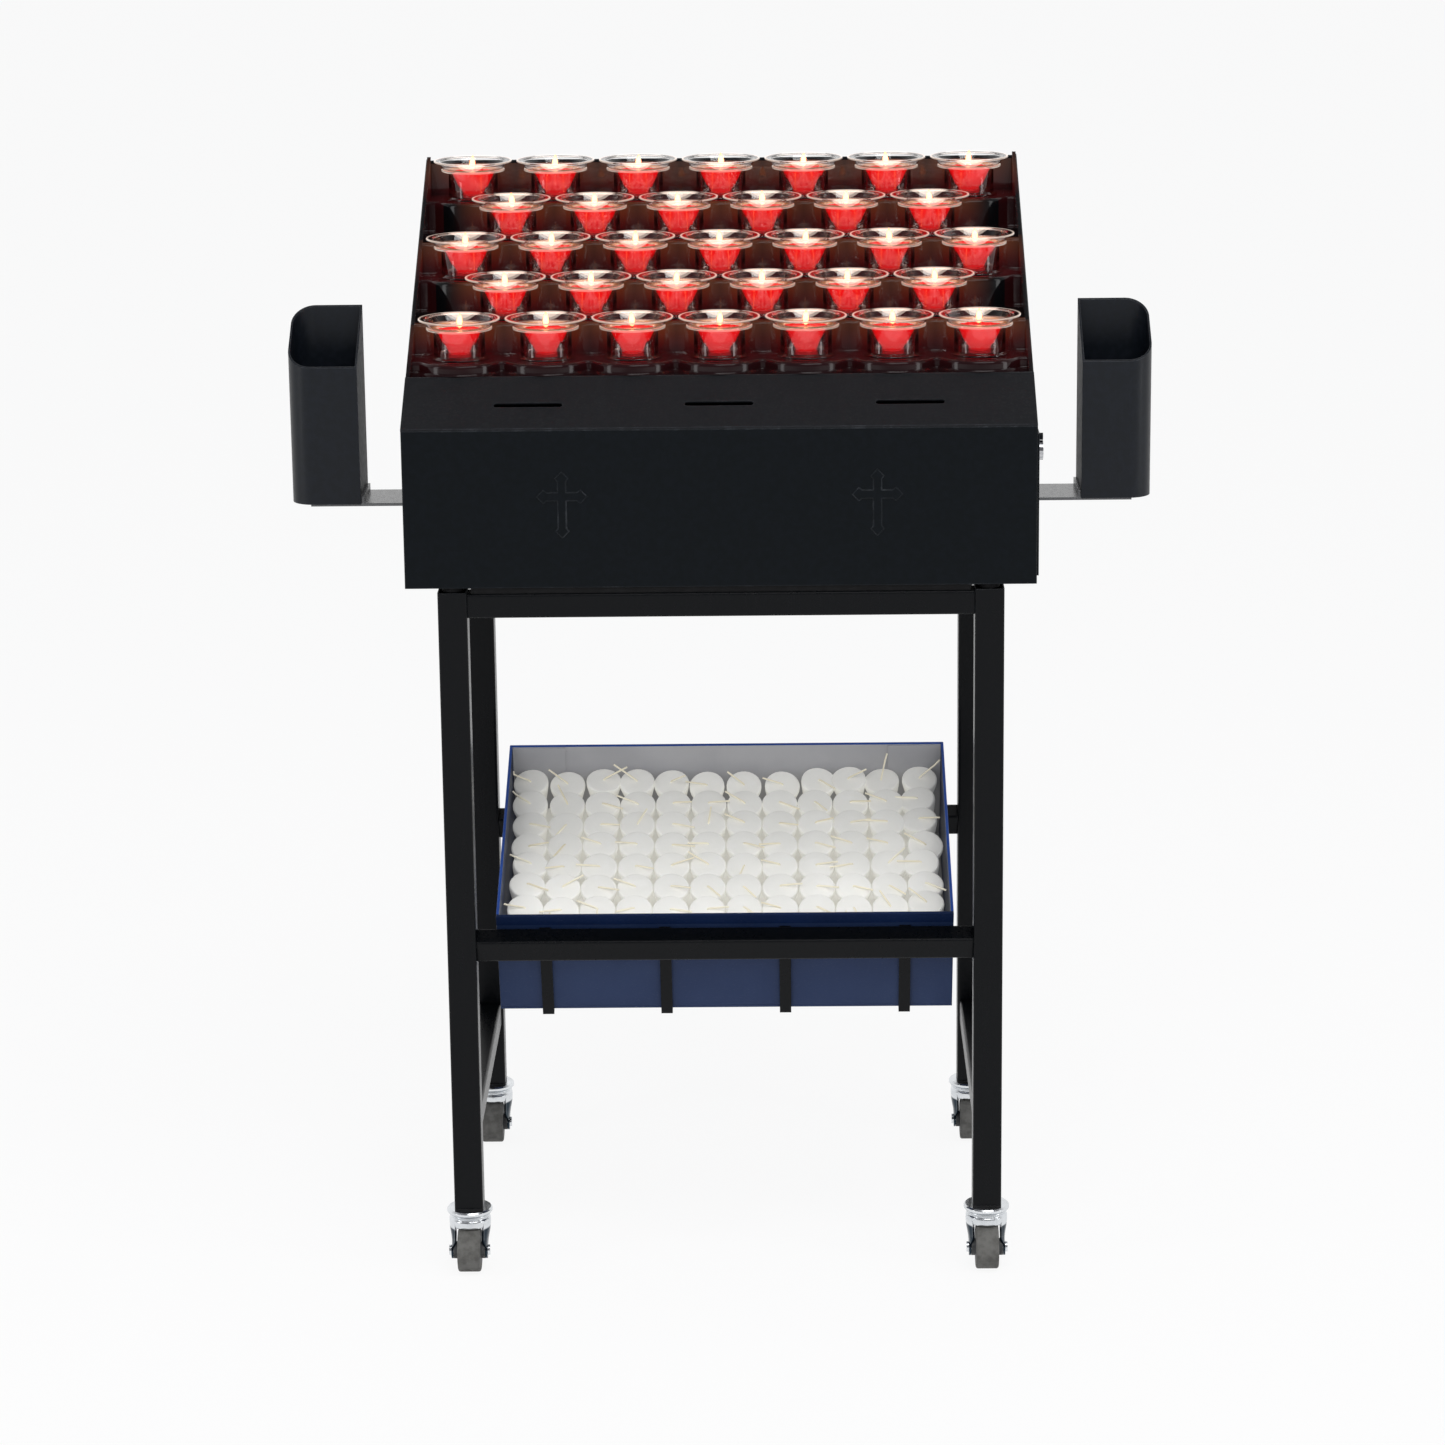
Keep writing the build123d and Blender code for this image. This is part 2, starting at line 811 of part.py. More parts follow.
spare_margin = (carton_depth - (spare_rows - 1) * spare_row_pitch) / 2
with BuildPart() as spare_candles:
    with BuildSketch(cradle_plane.offset(carton_wall)):
        with Locations((0, spare_margin + (spare_rows - 1) * spare_row_pitch / 2)):
            with GridLocations(spare_column_pitch, spare_row_pitch, spare_columns, spare_rows):
                Circle(spare_radius)
    extrude(amount=spare_height)
save(spare_candles, "spare_candles")

# ---------------------------------------------------------------- the bins and their arms

bin_inner_x = half_width + bin_spacing
bin_middle_x = bin_inner_x + bin_width / 2
bin_front_y = y_at(bin_setback)
bin_back_y = y_at(bin_setback + bin_depth)


def bin_section(side, inset, height):
    """The bin's plan at a height, rounded on the side away from the box."""
    with BuildSketch(Plane.XY.offset(height)) as section:
        with BuildLine():
            inner = side * (bin_inner_x + inset)
            outer = side * (bin_inner_x + bin_width - inset)
            front = bin_front_y + inset
            back = bin_back_y - inset
            radius = bin_corner - inset
            Line((inner, back), (inner, front))
            Line((inner, front), (outer - side * radius, front))
            RadiusArc((outer - side * radius, front), (outer, front + radius), -side * radius)
            Line((outer, front + radius), (outer, back - radius))
            RadiusArc((outer, back - radius), (outer - side * radius, back), -side * radius)
            Line((outer - side * radius, back), (inner, back))
        make_face()
    return section.sketch


def side_bin(side):
    """An open bin whose mouth slopes down towards the front, with a hole in its floor."""
    mouth_front = bin_bottom + bin_front_height
    mouth_back = bin_bottom + bin_back_height
    with BuildPart() as shell:
        extrude(bin_section(side, 0, bin_bottom), amount=bin_back_height)
        inside = bin_section(side, bin_wall, bin_bottom + bin_wall)
        extrude(inside, amount=bin_back_height, mode=Mode.SUBTRACT)
        with BuildSketch(Plane.XY.offset(bin_bottom)):
            with Locations((side * bin_middle_x, y_at(bin_middle_depth))):
                Circle(bolt_radius)
        extrude(amount=bin_wall, mode=Mode.SUBTRACT)
        with BuildSketch(Plane.YZ.offset(side * bin_middle_x)):
            with BuildLine():
                Polyline(
                    (bin_front_y - 5, mouth_front - 5 * (mouth_back - mouth_front) / bin_depth),
                    (bin_back_y + 5, mouth_back + 5 * (mouth_back - mouth_front) / bin_depth),
                    (bin_front_y - 5, mouth_back + bin_back_height),
                    close=True,
                )
            make_face()
        extrude(amount=bin_width, both=True, mode=Mode.SUBTRACT)
    return shell


def bin_arm(side):
    """A flat arm with a flange down the side of the box and a small upstand against the bin."""
    root = side * half_width
    end = side * (bin_middle_x + 16)
    stop = side * bin_inner_x
    out = side
    with BuildPart() as arm:
        with BuildSketch(Plane.XZ.offset(-y_at(bin_middle_depth + arm_width / 2))):
            with BuildLine():
                Polyline(
                    (root, arm_top),
                    (stop - out * arm_thickness, arm_top),
                    (stop - out * arm_thickness, arm_top + arm_stop_height),
                    (stop, arm_top + arm_stop_height),
                    (stop, arm_top),
                    (end, arm_top),
                    (end, arm_top - arm_thickness),
                    (root + out * arm_thickness, arm_top - arm_thickness),
                    (root + out * arm_thickness, arm_top - arm_flange),
                    (root, arm_top - arm_flange),
                    close=True,
                )
            make_face()
        extrude(amount=arm_width)
        with BuildSketch(Plane.XY.offset(arm_top)):
            with Locations((side * bin_middle_x, y_at(bin_middle_depth))):
                Circle(bolt_radius)
        extrude(amount=-arm_thickness, mode=Mode.SUBTRACT)
        with BuildSketch(Plane.YZ.offset(root)):
            with Locations((y_at(bin_middle_depth), arm_bolt_z)):
                with GridLocations(arm_bolt_pitch, 0, 2, 1):
                    Circle(bolt_radius)
        extrude(amount=side * arm_thickness, mode=Mode.SUBTRACT)
    return arm


for name, side in (("left", -1), ("right", 1)):
    save(side_bin(side), f"bin_{name}")
    save(bin_arm(side), f"bin_arm_{name}")


def bolt_stack(side):
    """Planes along the bolts of one side: under the bin, and through the side of the box."""
    out = (side, 0, 0)
    base = Plane(
        origin=(side * bin_middle_x, y_at(bin_middle_depth), arm_top - arm_thickness),
        z_dir=(0, 0, -1),
    )
    flange = [
        Plane(
            origin=(
                side * (half_width + arm_thickness),
                y_at(bin_middle_depth) + i * arm_bolt_pitch / 2,
                arm_bolt_z,
            ),
            z_dir=out,
        )
        for i in (-1, 1)
    ]
    return [(base, arm_thickness + bin_wall), *[(plane, arm_thickness + sheet) for plane in flange]]


with BuildPart() as arm_bolts:
    for side in (-1, 1):
        for plane, grip in bolt_stack(side):
            with BuildSketch(plane):
                Circle(bolt_head_radius)
            extrude(amount=bolt_head_height)
            with BuildSketch(plane):
                Circle(bolt_radius)
            extrude(amount=-grip - nut_height - 1.0)
save(arm_bolts, "arm_bolts")

with BuildPart() as arm_nuts:
    for side in (-1, 1):
        for plane, grip in bolt_stack(side):
            with BuildSketch(plane.offset(-grip)):
                RegularPolygon(nut_radius, 6)
                Circle(bolt_radius, mode=Mode.SUBTRACT)
            extrude(amount=-nut_height)
save(arm_nuts, "arm_nuts")

# ---------------------------------------------------------------- the casters

fork_top = caster_height - stem_disc_thickness - touch
cheek_inner = fork_inside / 2
cheek_outer = cheek_inner + fork_sheet
head_low = fork_plate_height - touch - spigot_head_thickness

with BuildPart() as stem:
    with BuildSketch(Plane.XY.offset(caster_height - stem_disc_thickness)):
        Circle(stem_disc_radius)
    extrude(amount=stem_disc_thickness)
    chamfer(stem.edges().sort_by(Axis.Z)[-1], 1.5)
    with BuildSketch(Plane.XY.offset(caster_height)):
        Circle(stem_radius)
    extrude(amount=plug_depth + plug_flange - 2.0)
    with BuildSketch(Plane.XY.offset(caster_height - stem_disc_thickness)):
        Circle(spigot_radius)
    extrude(amount=-(caster_height - stem_disc_thickness - fork_plate_height + touch))
    with BuildSketch(Plane.XY.offset(head_low)):
        Circle(spigot_head_radius)
    extrude(amount=spigot_head_thickness)
save(repeated(stem.part, [(x, y, 0) for x, y in leg_places]), "caster_stems")


def caster_fork(place):
    """The swivelling fork: a round crown and two tapered cheeks that carry the wheel ahead of it."""
    x, y = place
    wheel_y = y - caster_trail
    with BuildPart() as fork:
        with BuildSketch(Plane.XY.offset(fork_plate_height)):
            with Locations((x, y)):
                Circle(fork_crown_radius)
        extrude(amount=fork_top - fork_plate_height)
        chamfer(fork.edges().group_by(Axis.Z)[-1], 2.5)
        with BuildSketch(Plane.XY.offset(fork_groove_height)):
            with Locations((x, y)):
                Circle(fork_crown_radius)
                Circle(fork_crown_radius - fork_groove_depth, mode=Mode.SUBTRACT)
        extrude(amount=fork_groove_width, mode=Mode.SUBTRACT)
        for start in (-cheek_outer, cheek_inner):
            with BuildSketch(Plane.YZ.offset(x + start)):
                with BuildLine():
                    Polyline(
                        (y + 12, fork_plate_height + 1),
                        (y - 16, fork_plate_height + 1),
                        (wheel_y - 9, wheel_radius + 4),
                        (wheel_y, wheel_radius - 4),
                        (wheel_y + 9, wheel_radius + 1),
                        close=True,
                    )
                make_face()
                with Locations((wheel_y, wheel_radius)):
                    Circle(9.0)
                    Circle(axle_radius, mode=Mode.SUBTRACT)
            extrude(amount=fork_sheet)
        with BuildSketch(Plane.XY.offset(fork_plate_height)):
            with Locations((x, y)):
                Circle(spigot_radius + running_gap)
        extrude(amount=fork_top - fork_plate_height, mode=Mode.SUBTRACT)
    return fork


def caster_axle(place):
    """The axle rivet through both cheeks, with a domed head at each end."""
    x, y = place
    half = cheek_outer
    with BuildPart() as axle:
        with BuildSketch(Plane.YZ.offset(x - half)):
            with Locations((y - caster_trail, wheel_radius)):
                Circle(axle_radius)
        extrude(amount=2 * half)
        for start in (-half - axle_head_height, half):
            with BuildSketch(Plane.YZ.offset(x + start)):
                with Locations((y - caster_trail, wheel_radius)):
                    Circle(axle_head_radius)
            extrude(amount=axle_head_height)
    return axle


def caster_tyre(place):
    """The soft tread, rounded at its shoulders."""
    x, y = place
    with BuildPart() as tyre:
        with BuildSketch(Plane.YZ.offset(x - tyre_width / 2)):
            with Locations((y - caster_trail, wheel_radius)):
                Circle(wheel_radius)
                Circle(hub_radius, mode=Mode.SUBTRACT)
        extrude(amount=tyre_width)
        rims = tyre.edges().filter_by(GeomType.CIRCLE)
        fillet(rims.filter_by(lambda edge: abs(edge.radius - wheel_radius) < 0.01), 2.5)
    return tyre


def caster_hub(place):
    """The wheel's centre, with a boss that fills the fork and a bore that turns on the axle."""
    x, y = place
    with BuildPart() as hub:
        for radius, width in ((hub_radius, tyre_width), (hub_boss_radius, hub_width)):
            with BuildSketch(Plane.YZ.offset(x - width / 2)):
                with Locations((y - caster_trail, wheel_radius)):
                    Circle(radius)
            extrude(amount=width)
        with BuildSketch(Plane.YZ.offset(x - hub_width / 2)):
            with Locations((y - caster_trail, wheel_radius)):
                Circle(axle_radius + running_gap)
        extrude(amount=hub_width, mode=Mode.SUBTRACT)
    return hub


for name, place in zip(leg_names, leg_places):
    save(caster_fork(place), f"fork_{name}")
    save(caster_axle(place), f"axle_{name}")
    save(caster_tyre(place), f"tyre_{name}")
    save(caster_hub(place), f"hub_{name}")
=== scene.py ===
"""Votive candle rack: finishes for its steel, zinc and rubber, and its lamps, spare candles and carton."""
import math
import random

import bmesh
import bpy
from mathutils import Matrix, Vector


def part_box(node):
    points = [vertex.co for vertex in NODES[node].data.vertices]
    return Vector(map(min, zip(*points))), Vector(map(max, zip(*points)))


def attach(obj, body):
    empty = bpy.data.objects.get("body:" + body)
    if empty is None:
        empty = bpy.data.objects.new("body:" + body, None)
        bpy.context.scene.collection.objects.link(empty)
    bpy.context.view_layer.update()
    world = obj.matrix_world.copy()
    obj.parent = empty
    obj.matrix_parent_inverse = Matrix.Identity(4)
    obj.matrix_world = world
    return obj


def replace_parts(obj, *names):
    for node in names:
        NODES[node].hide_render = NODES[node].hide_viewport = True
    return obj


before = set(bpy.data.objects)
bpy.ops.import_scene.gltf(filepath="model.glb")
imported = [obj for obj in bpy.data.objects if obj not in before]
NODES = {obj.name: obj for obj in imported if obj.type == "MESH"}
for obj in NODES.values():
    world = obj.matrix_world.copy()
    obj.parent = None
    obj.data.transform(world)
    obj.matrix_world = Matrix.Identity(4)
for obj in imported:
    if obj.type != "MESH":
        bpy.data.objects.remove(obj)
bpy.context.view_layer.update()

scene = bpy.context.scene
MM = 0.001
draw = random.Random(33)
LAST_ROW, LAST_CUP = 4.0, 3.0   # the rows count from 0, the lamps of a long row from -3 to 3


# ---------------------------------------------------------------- node helpers

class Tree:
    """Short calls for making shader nodes and linking them."""

    def __init__(self, tree):
        self.tree = tree

    def node(self, kind, values=None, **settings):
        made = self.tree.nodes.new(kind)
        for name, value in settings.items():
            setattr(made, name, value)
        for socket, value in (values or {}).items():
            self.feed(made.inputs[socket], value)
        return made

    def feed(self, socket, value):
        if isinstance(value, bpy.types.NodeSocket):
            self.tree.links.new(value, socket)
        else:
            socket.default_value = value

    def math(self, operation, a, b=0.0, clamp=False):
        made = self.node("ShaderNodeMath", {0: a, 1: b}, operation=operation, use_clamp=clamp)
        return made.outputs[0]

    def ramp(self, value, low, high, to_low=0.0, to_high=1.0):
        made = self.node(
            "ShaderNodeMapRange",
            {"Value": value, "From Min": low, "From Max": high, "To Min": to_low, "To Max": to_high},
            interpolation_type="SMOOTHSTEP",
        )
        return made.outputs["Result"]

    def blend(self, factor, a, b):
        made = self.node("ShaderNodeMix", data_type="RGBA")
        self.feed(made.inputs[0], factor)
        self.feed(made.inputs[6], a)
        self.feed(made.inputs[7], b)
        return made.outputs[2]

    def group(self, name, **values):
        made = self.node("ShaderNodeGroup", node_tree=effect[name])
        for socket, value in values.items():
            self.feed(made.inputs[socket.replace("_", " ")], value)
        return made.outputs

    def place(self):
        return self.node("ShaderNodeTexCoord").outputs["Object"]

    def noise(self, vector, scale, detail=3.0, roughness=0.5):
        made = self.node(
            "ShaderNodeTexNoise",
            {"Vector": vector, "Scale": scale, "Detail": detail, "Roughness": roughness},
        )
        return made.outputs[0]


effect = {}


def new_effect(name, inputs, outputs, build):
    """A shader node group: inputs and outputs are (name, kind, default) rows."""
    tree = bpy.data.node_groups.new(name, "ShaderNodeTree")
    for label, kind, value in inputs:
        socket = tree.interface.new_socket(label, in_out="INPUT", socket_type="NodeSocket" + kind)
        socket.default_value = value
    for label, kind in outputs:
        tree.interface.new_socket(label, in_out="OUTPUT", socket_type="NodeSocket" + kind)
    t = Tree(tree)
    entry = t.node("NodeGroupInput")
    leave = t.node("NodeGroupOutput")
    for label, value in build(t, entry.outputs).items():
        t.feed(leave.inputs[label], value)
    effect[name] = tree


def tone(red, green, blue):
    """A colour from its 8-bit screen values."""
    def linear(value):
        value /= 255
        return value / 12.92 if value < 0.04045 else ((value + 0.055) / 1.055) ** 2.4
    return (linear(red), linear(green), linear(blue), 1.0)


# ---------------------------------------------------------------- effects

def build_orange_peel(t, given):
    place = t.place()
    fine = t.noise(place, given["Scale"], 2.0)
    broad = t.noise(place, t.math("MULTIPLY", given["Scale"], 0.22), 2.0)
    height = t.math("ADD", fine, t.math("MULTIPLY", broad, 0.8))
    return {"Height": height, "Patches": t.ramp(broad, 0.38, 0.66)}


new_effect(
    "orange_peel",
    [("Scale", "Float", 900.0)],
    [("Height", "Float"), ("Patches", "Float")],
    build_orange_peel,
)


def build_soft_edges(t, given):
    rounded = t.node("ShaderNodeBevel", {"Radius": given["Radius"]}, samples=4)
    flat = t.node("ShaderNodeNewGeometry").outputs["Normal"]
    same = t.node("ShaderNodeVectorMath", {0: rounded.outputs[0], 1: flat}, operation="DOT_PRODUCT")
    turn = t.math("SUBTRACT", 1.0, same.outputs["Value"])
    worn = t.noise(t.place(), given["Wear Scale"], 4.0, 0.62)
    edge = t.ramp(turn, 0.015, 0.12)
    rubbed = t.math("MULTIPLY", edge, t.ramp(worn, 0.5, 0.68))
    return {"Normal": rounded.outputs[0], "Edge": edge, "Worn": rubbed}


new_effect(
    "soft_edges",
    [("Radius", "Float", 0.0012), ("Wear Scale", "Float", 60.0)],
    [("Normal", "Vector"), ("Edge", "Float"), ("Worn", "Float")],
    build_soft_edges,
)


def build_settled_dust(t, given):
    up = t.node("ShaderNodeSeparateXYZ", {0: t.node("ShaderNodeNewGeometry").outputs["Normal"]}).outputs[2]
    specks = t.noise(t.place(), 420.0, 6.0, 0.7)
    drift = t.noise(t.place(), 14.0, 3.0)
    lying = t.math("MULTIPLY", t.ramp(up, 0.35, 0.95), t.ramp(specks, 0.46, 0.7))
    share = t.math("MULTIPLY", given["Amount"], t.ramp(drift, 0.3, 0.7, 0.4, 1.0))
    return {"Mask": t.math("MULTIPLY", lying, share)}


new_effect("settled_dust", [("Amount", "Float", 0.2)], [("Mask", "Float")], build_settled_dust)


def build_rub_marks(t, given):
    stretch = t.node("ShaderNodeMapping", {"Vector": t.place(), "Scale": given["Direction"]})
    lines = t.noise(stretch.outputs[0], 260.0, 5.0, 0.6)
    where = t.noise(t.place(), 9.0, 3.0)
    return {"Lines": t.math("MULTIPLY", t.ramp(lines, 0.5, 0.72), t.ramp(where, 0.42, 0.62))}


new_effect("rub_marks", [("Direction", "Vector", (1.0, 1.0, 0.06))], [("Lines", "Float")], build_rub_marks)


def build_lamp_nearness(t, given):
    """Height above the nearest lamp's step, and distance from its axis. Odd rows stand half a pitch over."""
    here = t.node("ShaderNodeSeparateXYZ", {0: t.place()}).outputs
    rows = t.math("DIVIDE", t.math("SUBTRACT", here[1], given["First Row"]), given["Row Pitch"])
    row = t.math("MINIMUM", t.math("MAXIMUM", t.math("ROUND", rows), 0.0), LAST_ROW)
    step = t.math("ADD", given["First Step"], t.math("MULTIPLY", row, given["Rise"]))
    behind = t.math("MULTIPLY", t.math("SUBTRACT", rows, row), given["Row Pitch"])
    odd = t.math("MULTIPLY", t.math("PINGPONG", row, 1.0), 0.5)
    across = t.math("SUBTRACT", t.math("DIVIDE", here[0], given["Cup Pitch"]), odd)
    nearest = t.math("MAXIMUM", t.math("ROUND", across), -LAST_CUP)
    nearest = t.math("MINIMUM", nearest, t.math("SUBTRACT", LAST_CUP, t.math("MULTIPLY", odd, 2.0)))
    beside = t.math("MULTIPLY", t.math("SUBTRACT", across, nearest), given["Cup Pitch"])
    distance = t.math("SQRT", t.math("ADD", t.math("POWER", beside, 2.0), t.math("POWER", behind, 2.0)))
    return {"Height": t.math("SUBTRACT", here[2], step), "Distance": distance}


new_effect(
    "lamp_nearness",
    [("First Row", "Float", 0.0), ("Row Pitch", "Float", 0.066), ("First Step", "Float", 0.95),
     ("Rise", "Float", 0.032), ("Cup Pitch", "Float", 0.089)],
    [("Height", "Float"), ("Distance", "Float")],
    build_lamp_nearness,
)


# ---------------------------------------------------------------- finishes

NO_LIGHT = (0.0, 0.0, 0.0, 1.0)

finishes = {}


def finish(name, build):
    made = bpy.data.materials.new(name)
    made.use_nodes = True
    made.node_tree.nodes.clear()
    t = Tree(made.node_tree)
    out = t.node("ShaderNodeOutputMaterial")
    t.feed(out.inputs["Surface"], build(t))
    finishes[name] = made
    return made


def coated_steel(colour, patch, worn, roughness, specular, peel=900.0, radius=0.0012, depth=0.03, dust=0.12,
                 direction=(1.0, 1.0, 0.06), sheen=0.08):
    """Powder-coated sheet or tube: fine orange peel, rounded edges that shine and carry a painted highlight,
    rubs and a little dust.
    """
    def build(t):
        peeled = t.group("orange_peel", Scale=peel)
        edges = t.group("soft_edges", Radius=radius)
        dusty = t.group("settled_dust", Amount=dust)["Mask"]
        rubs = t.group("rub_marks", Direction=direction)["Lines"]
        base = t.blend(peeled["Patches"], colour, patch)
        # Painted highlight: every edge is blended toward the worn colour; the rubbed spots on the edges are
        # real wear.
        edge_highlight_and_wear = t.math("ADD", t.math("MULTIPLY", edges["Edge"], 0.14),
                      t.math("MULTIPLY", edges["Worn"], 0.3))
        base = t.blend(edge_highlight_and_wear, base, worn)
        base = t.blend(dusty, base, tone(120, 118, 112))
        rough = t.math("ADD", roughness, t.math("MULTIPLY", peeled["Patches"], 0.06))
        rough = t.math("SUBTRACT", rough, t.math("MULTIPLY", rubs, 0.07))
        rough = t.math("SUBTRACT", rough, t.math("MULTIPLY", edges["Edge"], sheen), clamp=True)
        bump = t.node(
            "ShaderNodeBump",
            {"Strength": depth, "Distance": 0.0006, "Height": peeled["Height"], "Normal": edges["Normal"]},
        )
        shader = t.node(
            "ShaderNodeBsdfPrincipled",
            {"Base Color": base, "Roughness": rough, "Specular IOR Level": specular,
             "Normal": bump.outputs[0]},
        )
        return shader.outputs[0]
    return build


# The third colour of each coat is its worn metal and also its painted edge highlight.
finish("box_coat", coated_steel(
    tone(6, 11, 15), tone(9, 14, 19), tone(96, 100, 106), 0.42, 0.12, radius=0.0018))
# The panel's base is lighter than the box's: painted light for its up-facing top.
finish("panel_coat", coated_steel(
    tone(23, 24, 27), tone(27, 28, 31), tone(96, 100, 106), 0.55, 0.12, radius=0.0018, dust=0.04,
    direction=(0.06, 1.0, 1.0)))
finish("frame_coat", coated_steel(
    tone(5, 7, 10), tone(8, 9, 12), tone(50, 53, 58), 0.28, 0.15, peel=1100.0, radius=0.0022, depth=0.008,
    dust=0.012, sheen=0.01))
# The arms' grey base is a painted reflection: it stands in for the white backdrop reflected along their
# tops.
finish("arm_coat", coated_steel(
    tone(66, 67, 70), tone(72, 73, 76), tone(120, 122, 126), 0.24, 1.0, radius=0.0008, depth=0.006,
    dust=0.03))
finish("bin_coat", coated_steel(
    tone(14, 18, 24), tone(18, 22, 29), tone(120, 124, 130), 0.36, 0.26, peel=700.0, depth=0.04))


def gloss_tray(t):
    edges = t.group("soft_edges", Radius=0.0016, Wear_Scale=30.0)
    dusty = t.group("settled_dust", Amount=0.08)["Mask"]
    smear = t.noise(t.place(), 26.0, 4.0, 0.55)
    base = t.blend(dusty, tone(9, 9, 11), tone(110, 104, 100))
    rough = t.ramp(smear, 0.3, 0.75, 0.05, 0.14)
    # Painted light: round each lamp the tray glows red, amber higher up, standing in for the lamps' light
    # and its reflection on the gloss.
    near = t.group("lamp_nearness")
    painted_glow_mask = t.math("MULTIPLY", t.ramp(near["Distance"], 0.072, 0.03),
                  t.ramp(near["Height"], -0.01, 0.034, 0.12, 1.0))
    painted_glow_mask = t.math("MULTIPLY", painted_glow_mask, t.ramp(t.noise(t.place(), 20.0, 2.0), 0.3, 0.8, 0.7, 1.0))
    light = t.blend(t.ramp(near["Height"], 0.0, 0.035), (0.9, 0.05, 0.06, 1.0), (0.9, 0.24, 0.07, 1.0))
    glow = t.blend(painted_glow_mask, NO_LIGHT, light)
    wave = t.node(
        "ShaderNodeBump",
        {"Strength": 0.12, "Distance": 0.001, "Height": t.noise(t.place(), 36.0, 1.0),
         "Normal": edges["Normal"]},
    )
    shader = t.node(
        "ShaderNodeBsdfPrincipled",
        {"Base Color": base, "Roughness": rough, "Specular IOR Level": 0.24, "Normal": wave.outputs[0],
         "Emission Color": glow, "Emission Strength": 0.13},
    )
    return shader.outputs[0]


finish("tray_enamel", gloss_tray)


def plated(colour, shade, roughness, grain, low=None, high=None, below=None):
    """Plated steel; below a height it can be painted darker, as painted shade and dark reflection on a
    fork's cheeks.
    """
    def build(t):
        place = t.place()
        edges = t.group("soft_edges", Radius=0.0006, Wear_Scale=220.0)
        cloud = t.noise(place, grain, 4.0, 0.6)
        base = t.blend(t.ramp(cloud, 0.36, 0.68), colour, shade)
        if below is not None:
            # Painted shade and dark reflection: darker below a height.
            height = t.node("ShaderNodeSeparateXYZ", {0: place}).outputs[2]
            base = t.blend(t.ramp(height, low, high), below, base)
        rough = t.ramp(t.noise(place, grain * 2.3, 3.0), 0.3, 0.7, roughness * 0.7, roughness * 1.4)
        bump = t.node(
            "ShaderNodeBump",
            {"Strength": 0.08, "Distance": 0.0003, "Height": t.noise(place, 1400.0, 2.0),
             "Normal": edges["Normal"]},
        )
        shader = t.node(
            "ShaderNodeBsdfPrincipled",
            {"Base Color": base, "Metallic": 1.0, "Roughness": rough, "Normal": bump.outputs[0]},
        )
        return shader.outputs[0]
    return build


# The fork's cheeks turn darker below the crown: painted shade and dark reflection.
finish("caster_zinc", plated(
    tone(222, 225, 228), tone(210, 214, 218), 0.2, 40.0, low=0.0445, high=0.0465, below=tone(40, 52, 62)))
finish("stem_zinc", plated(tone(226, 229, 232), tone(214, 217, 220), 0.18, 40.0))
finish("bolt_zinc", plated(tone(150, 152, 156), tone(96, 98, 102), 0.34, 300.0))
finish("lock_nickel", plated(tone(205, 206, 208), tone(160, 162, 166), 0.14, 240.0))


def moulded(colour, patch, roughness, grain, depth, specular=0.4):
    """Moulded rubber or plastic with a fine grain."""
    def build(t):
        edges = t.group("soft_edges", Radius=0.0008, Wear_Scale=140.0)
        place = t.place()
        cloud = t.noise(place, grain * 0.12, 4.0, 0.6)
        base = t.blend(t.ramp(cloud, 0.35, 0.7), colour, patch)
        rough = t.ramp(cloud, 0.3, 0.7, roughness, roughness + 0.14)
        bump = t.node(
            "ShaderNodeBump",
            {"Strength": depth, "Distance": 0.0004, "Height": t.noise(place, grain, 3.0),
             "Normal": edges["Normal"]},
        )
        shader = t.node(
            "ShaderNodeBsdfPrincipled",
            {"Base Color": base, "Roughness": rough, "Specular IOR Level": specular,
             "Normal": bump.outputs[0]},
        )
        return shader.outputs[0]
    return build


finish("tyre_grey", moulded(tone(104, 103, 100), tone(84, 83, 80), 0.6, 900.0, 0.16, 0.3))
finish("hub_grey", moulded(tone(70, 71, 72), tone(56, 57, 58), 0.45, 700.0, 0.08))
finish("pad_black", moulded(tone(20, 20, 21), tone(30, 30, 31), 0.7, 800.0, 0.2, 0.2))
finish("plug_black", moulded(tone(22, 22, 23), tone(30, 30, 32), 0.5, 700.0, 0.12, 0.3))


def lamp_lights(t, clear):
    """Clear glass lets the rays of lamps through, so that the wax and the tray behind it are lit."""
    through = t.node("ShaderNodeBsdfTransparent", {"Color": (0.95, 0.93, 0.92, 1.0)})
    shadow = t.node("ShaderNodeLightPath").outputs["Is Shadow Ray"]
    return t.node("ShaderNodeMixShader", {0: shadow, 1: clear, 2: through.outputs[0]}).outputs[0]


def clear_glass(smooth, hazy, ripple, strength, rim_at):
    """Pressed glass with painted light from the flame: a pale painted glow and tint on the rim, and an
    orange painted glow close to the flame.
    """
    def build(t):
        near = t.group("lamp_nearness")
        # Painted light: the rim and the glass close to the flame glow, as if lit by the flame.
        close = t.math("MULTIPLY", t.ramp(near["Distance"], 0.033, 0.016),
                       t.ramp(near["Height"], 0.031, 0.0338))
        rim = t.ramp(near["Distance"], rim_at - 0.0022, rim_at)
        glow = t.blend(rim, NO_LIGHT, (1.0, 0.82, 0.7, 1.0))
        glow = t.blend(close, glow, (1.0, 0.4, 0.16, 1.0))
        waves = t.noise(t.place(), 140.0, 2.0)
        bump = t.node("ShaderNodeBump", {"Strength": ripple, "Distance": 0.0008, "Height": waves})
        shader = t.node(
            "ShaderNodeBsdfPrincipled",
            {"Base Color": t.blend(rim, (0.98, 0.98, 0.98, 1.0), (0.8, 0.72, 0.68, 1.0)),
             "Roughness": t.ramp(t.noise(t.place(), 60.0, 3.0), 0.35, 0.75, smooth, hazy), "IOR": 1.49,
             "Transmission Weight": 1.0, "Specular IOR Level": 0.4,
             "Emission Color": glow, "Emission Strength": strength,
             "Normal": bump.outputs[0]},
        )
        return lamp_lights(t, shader.outputs[0])
    return build


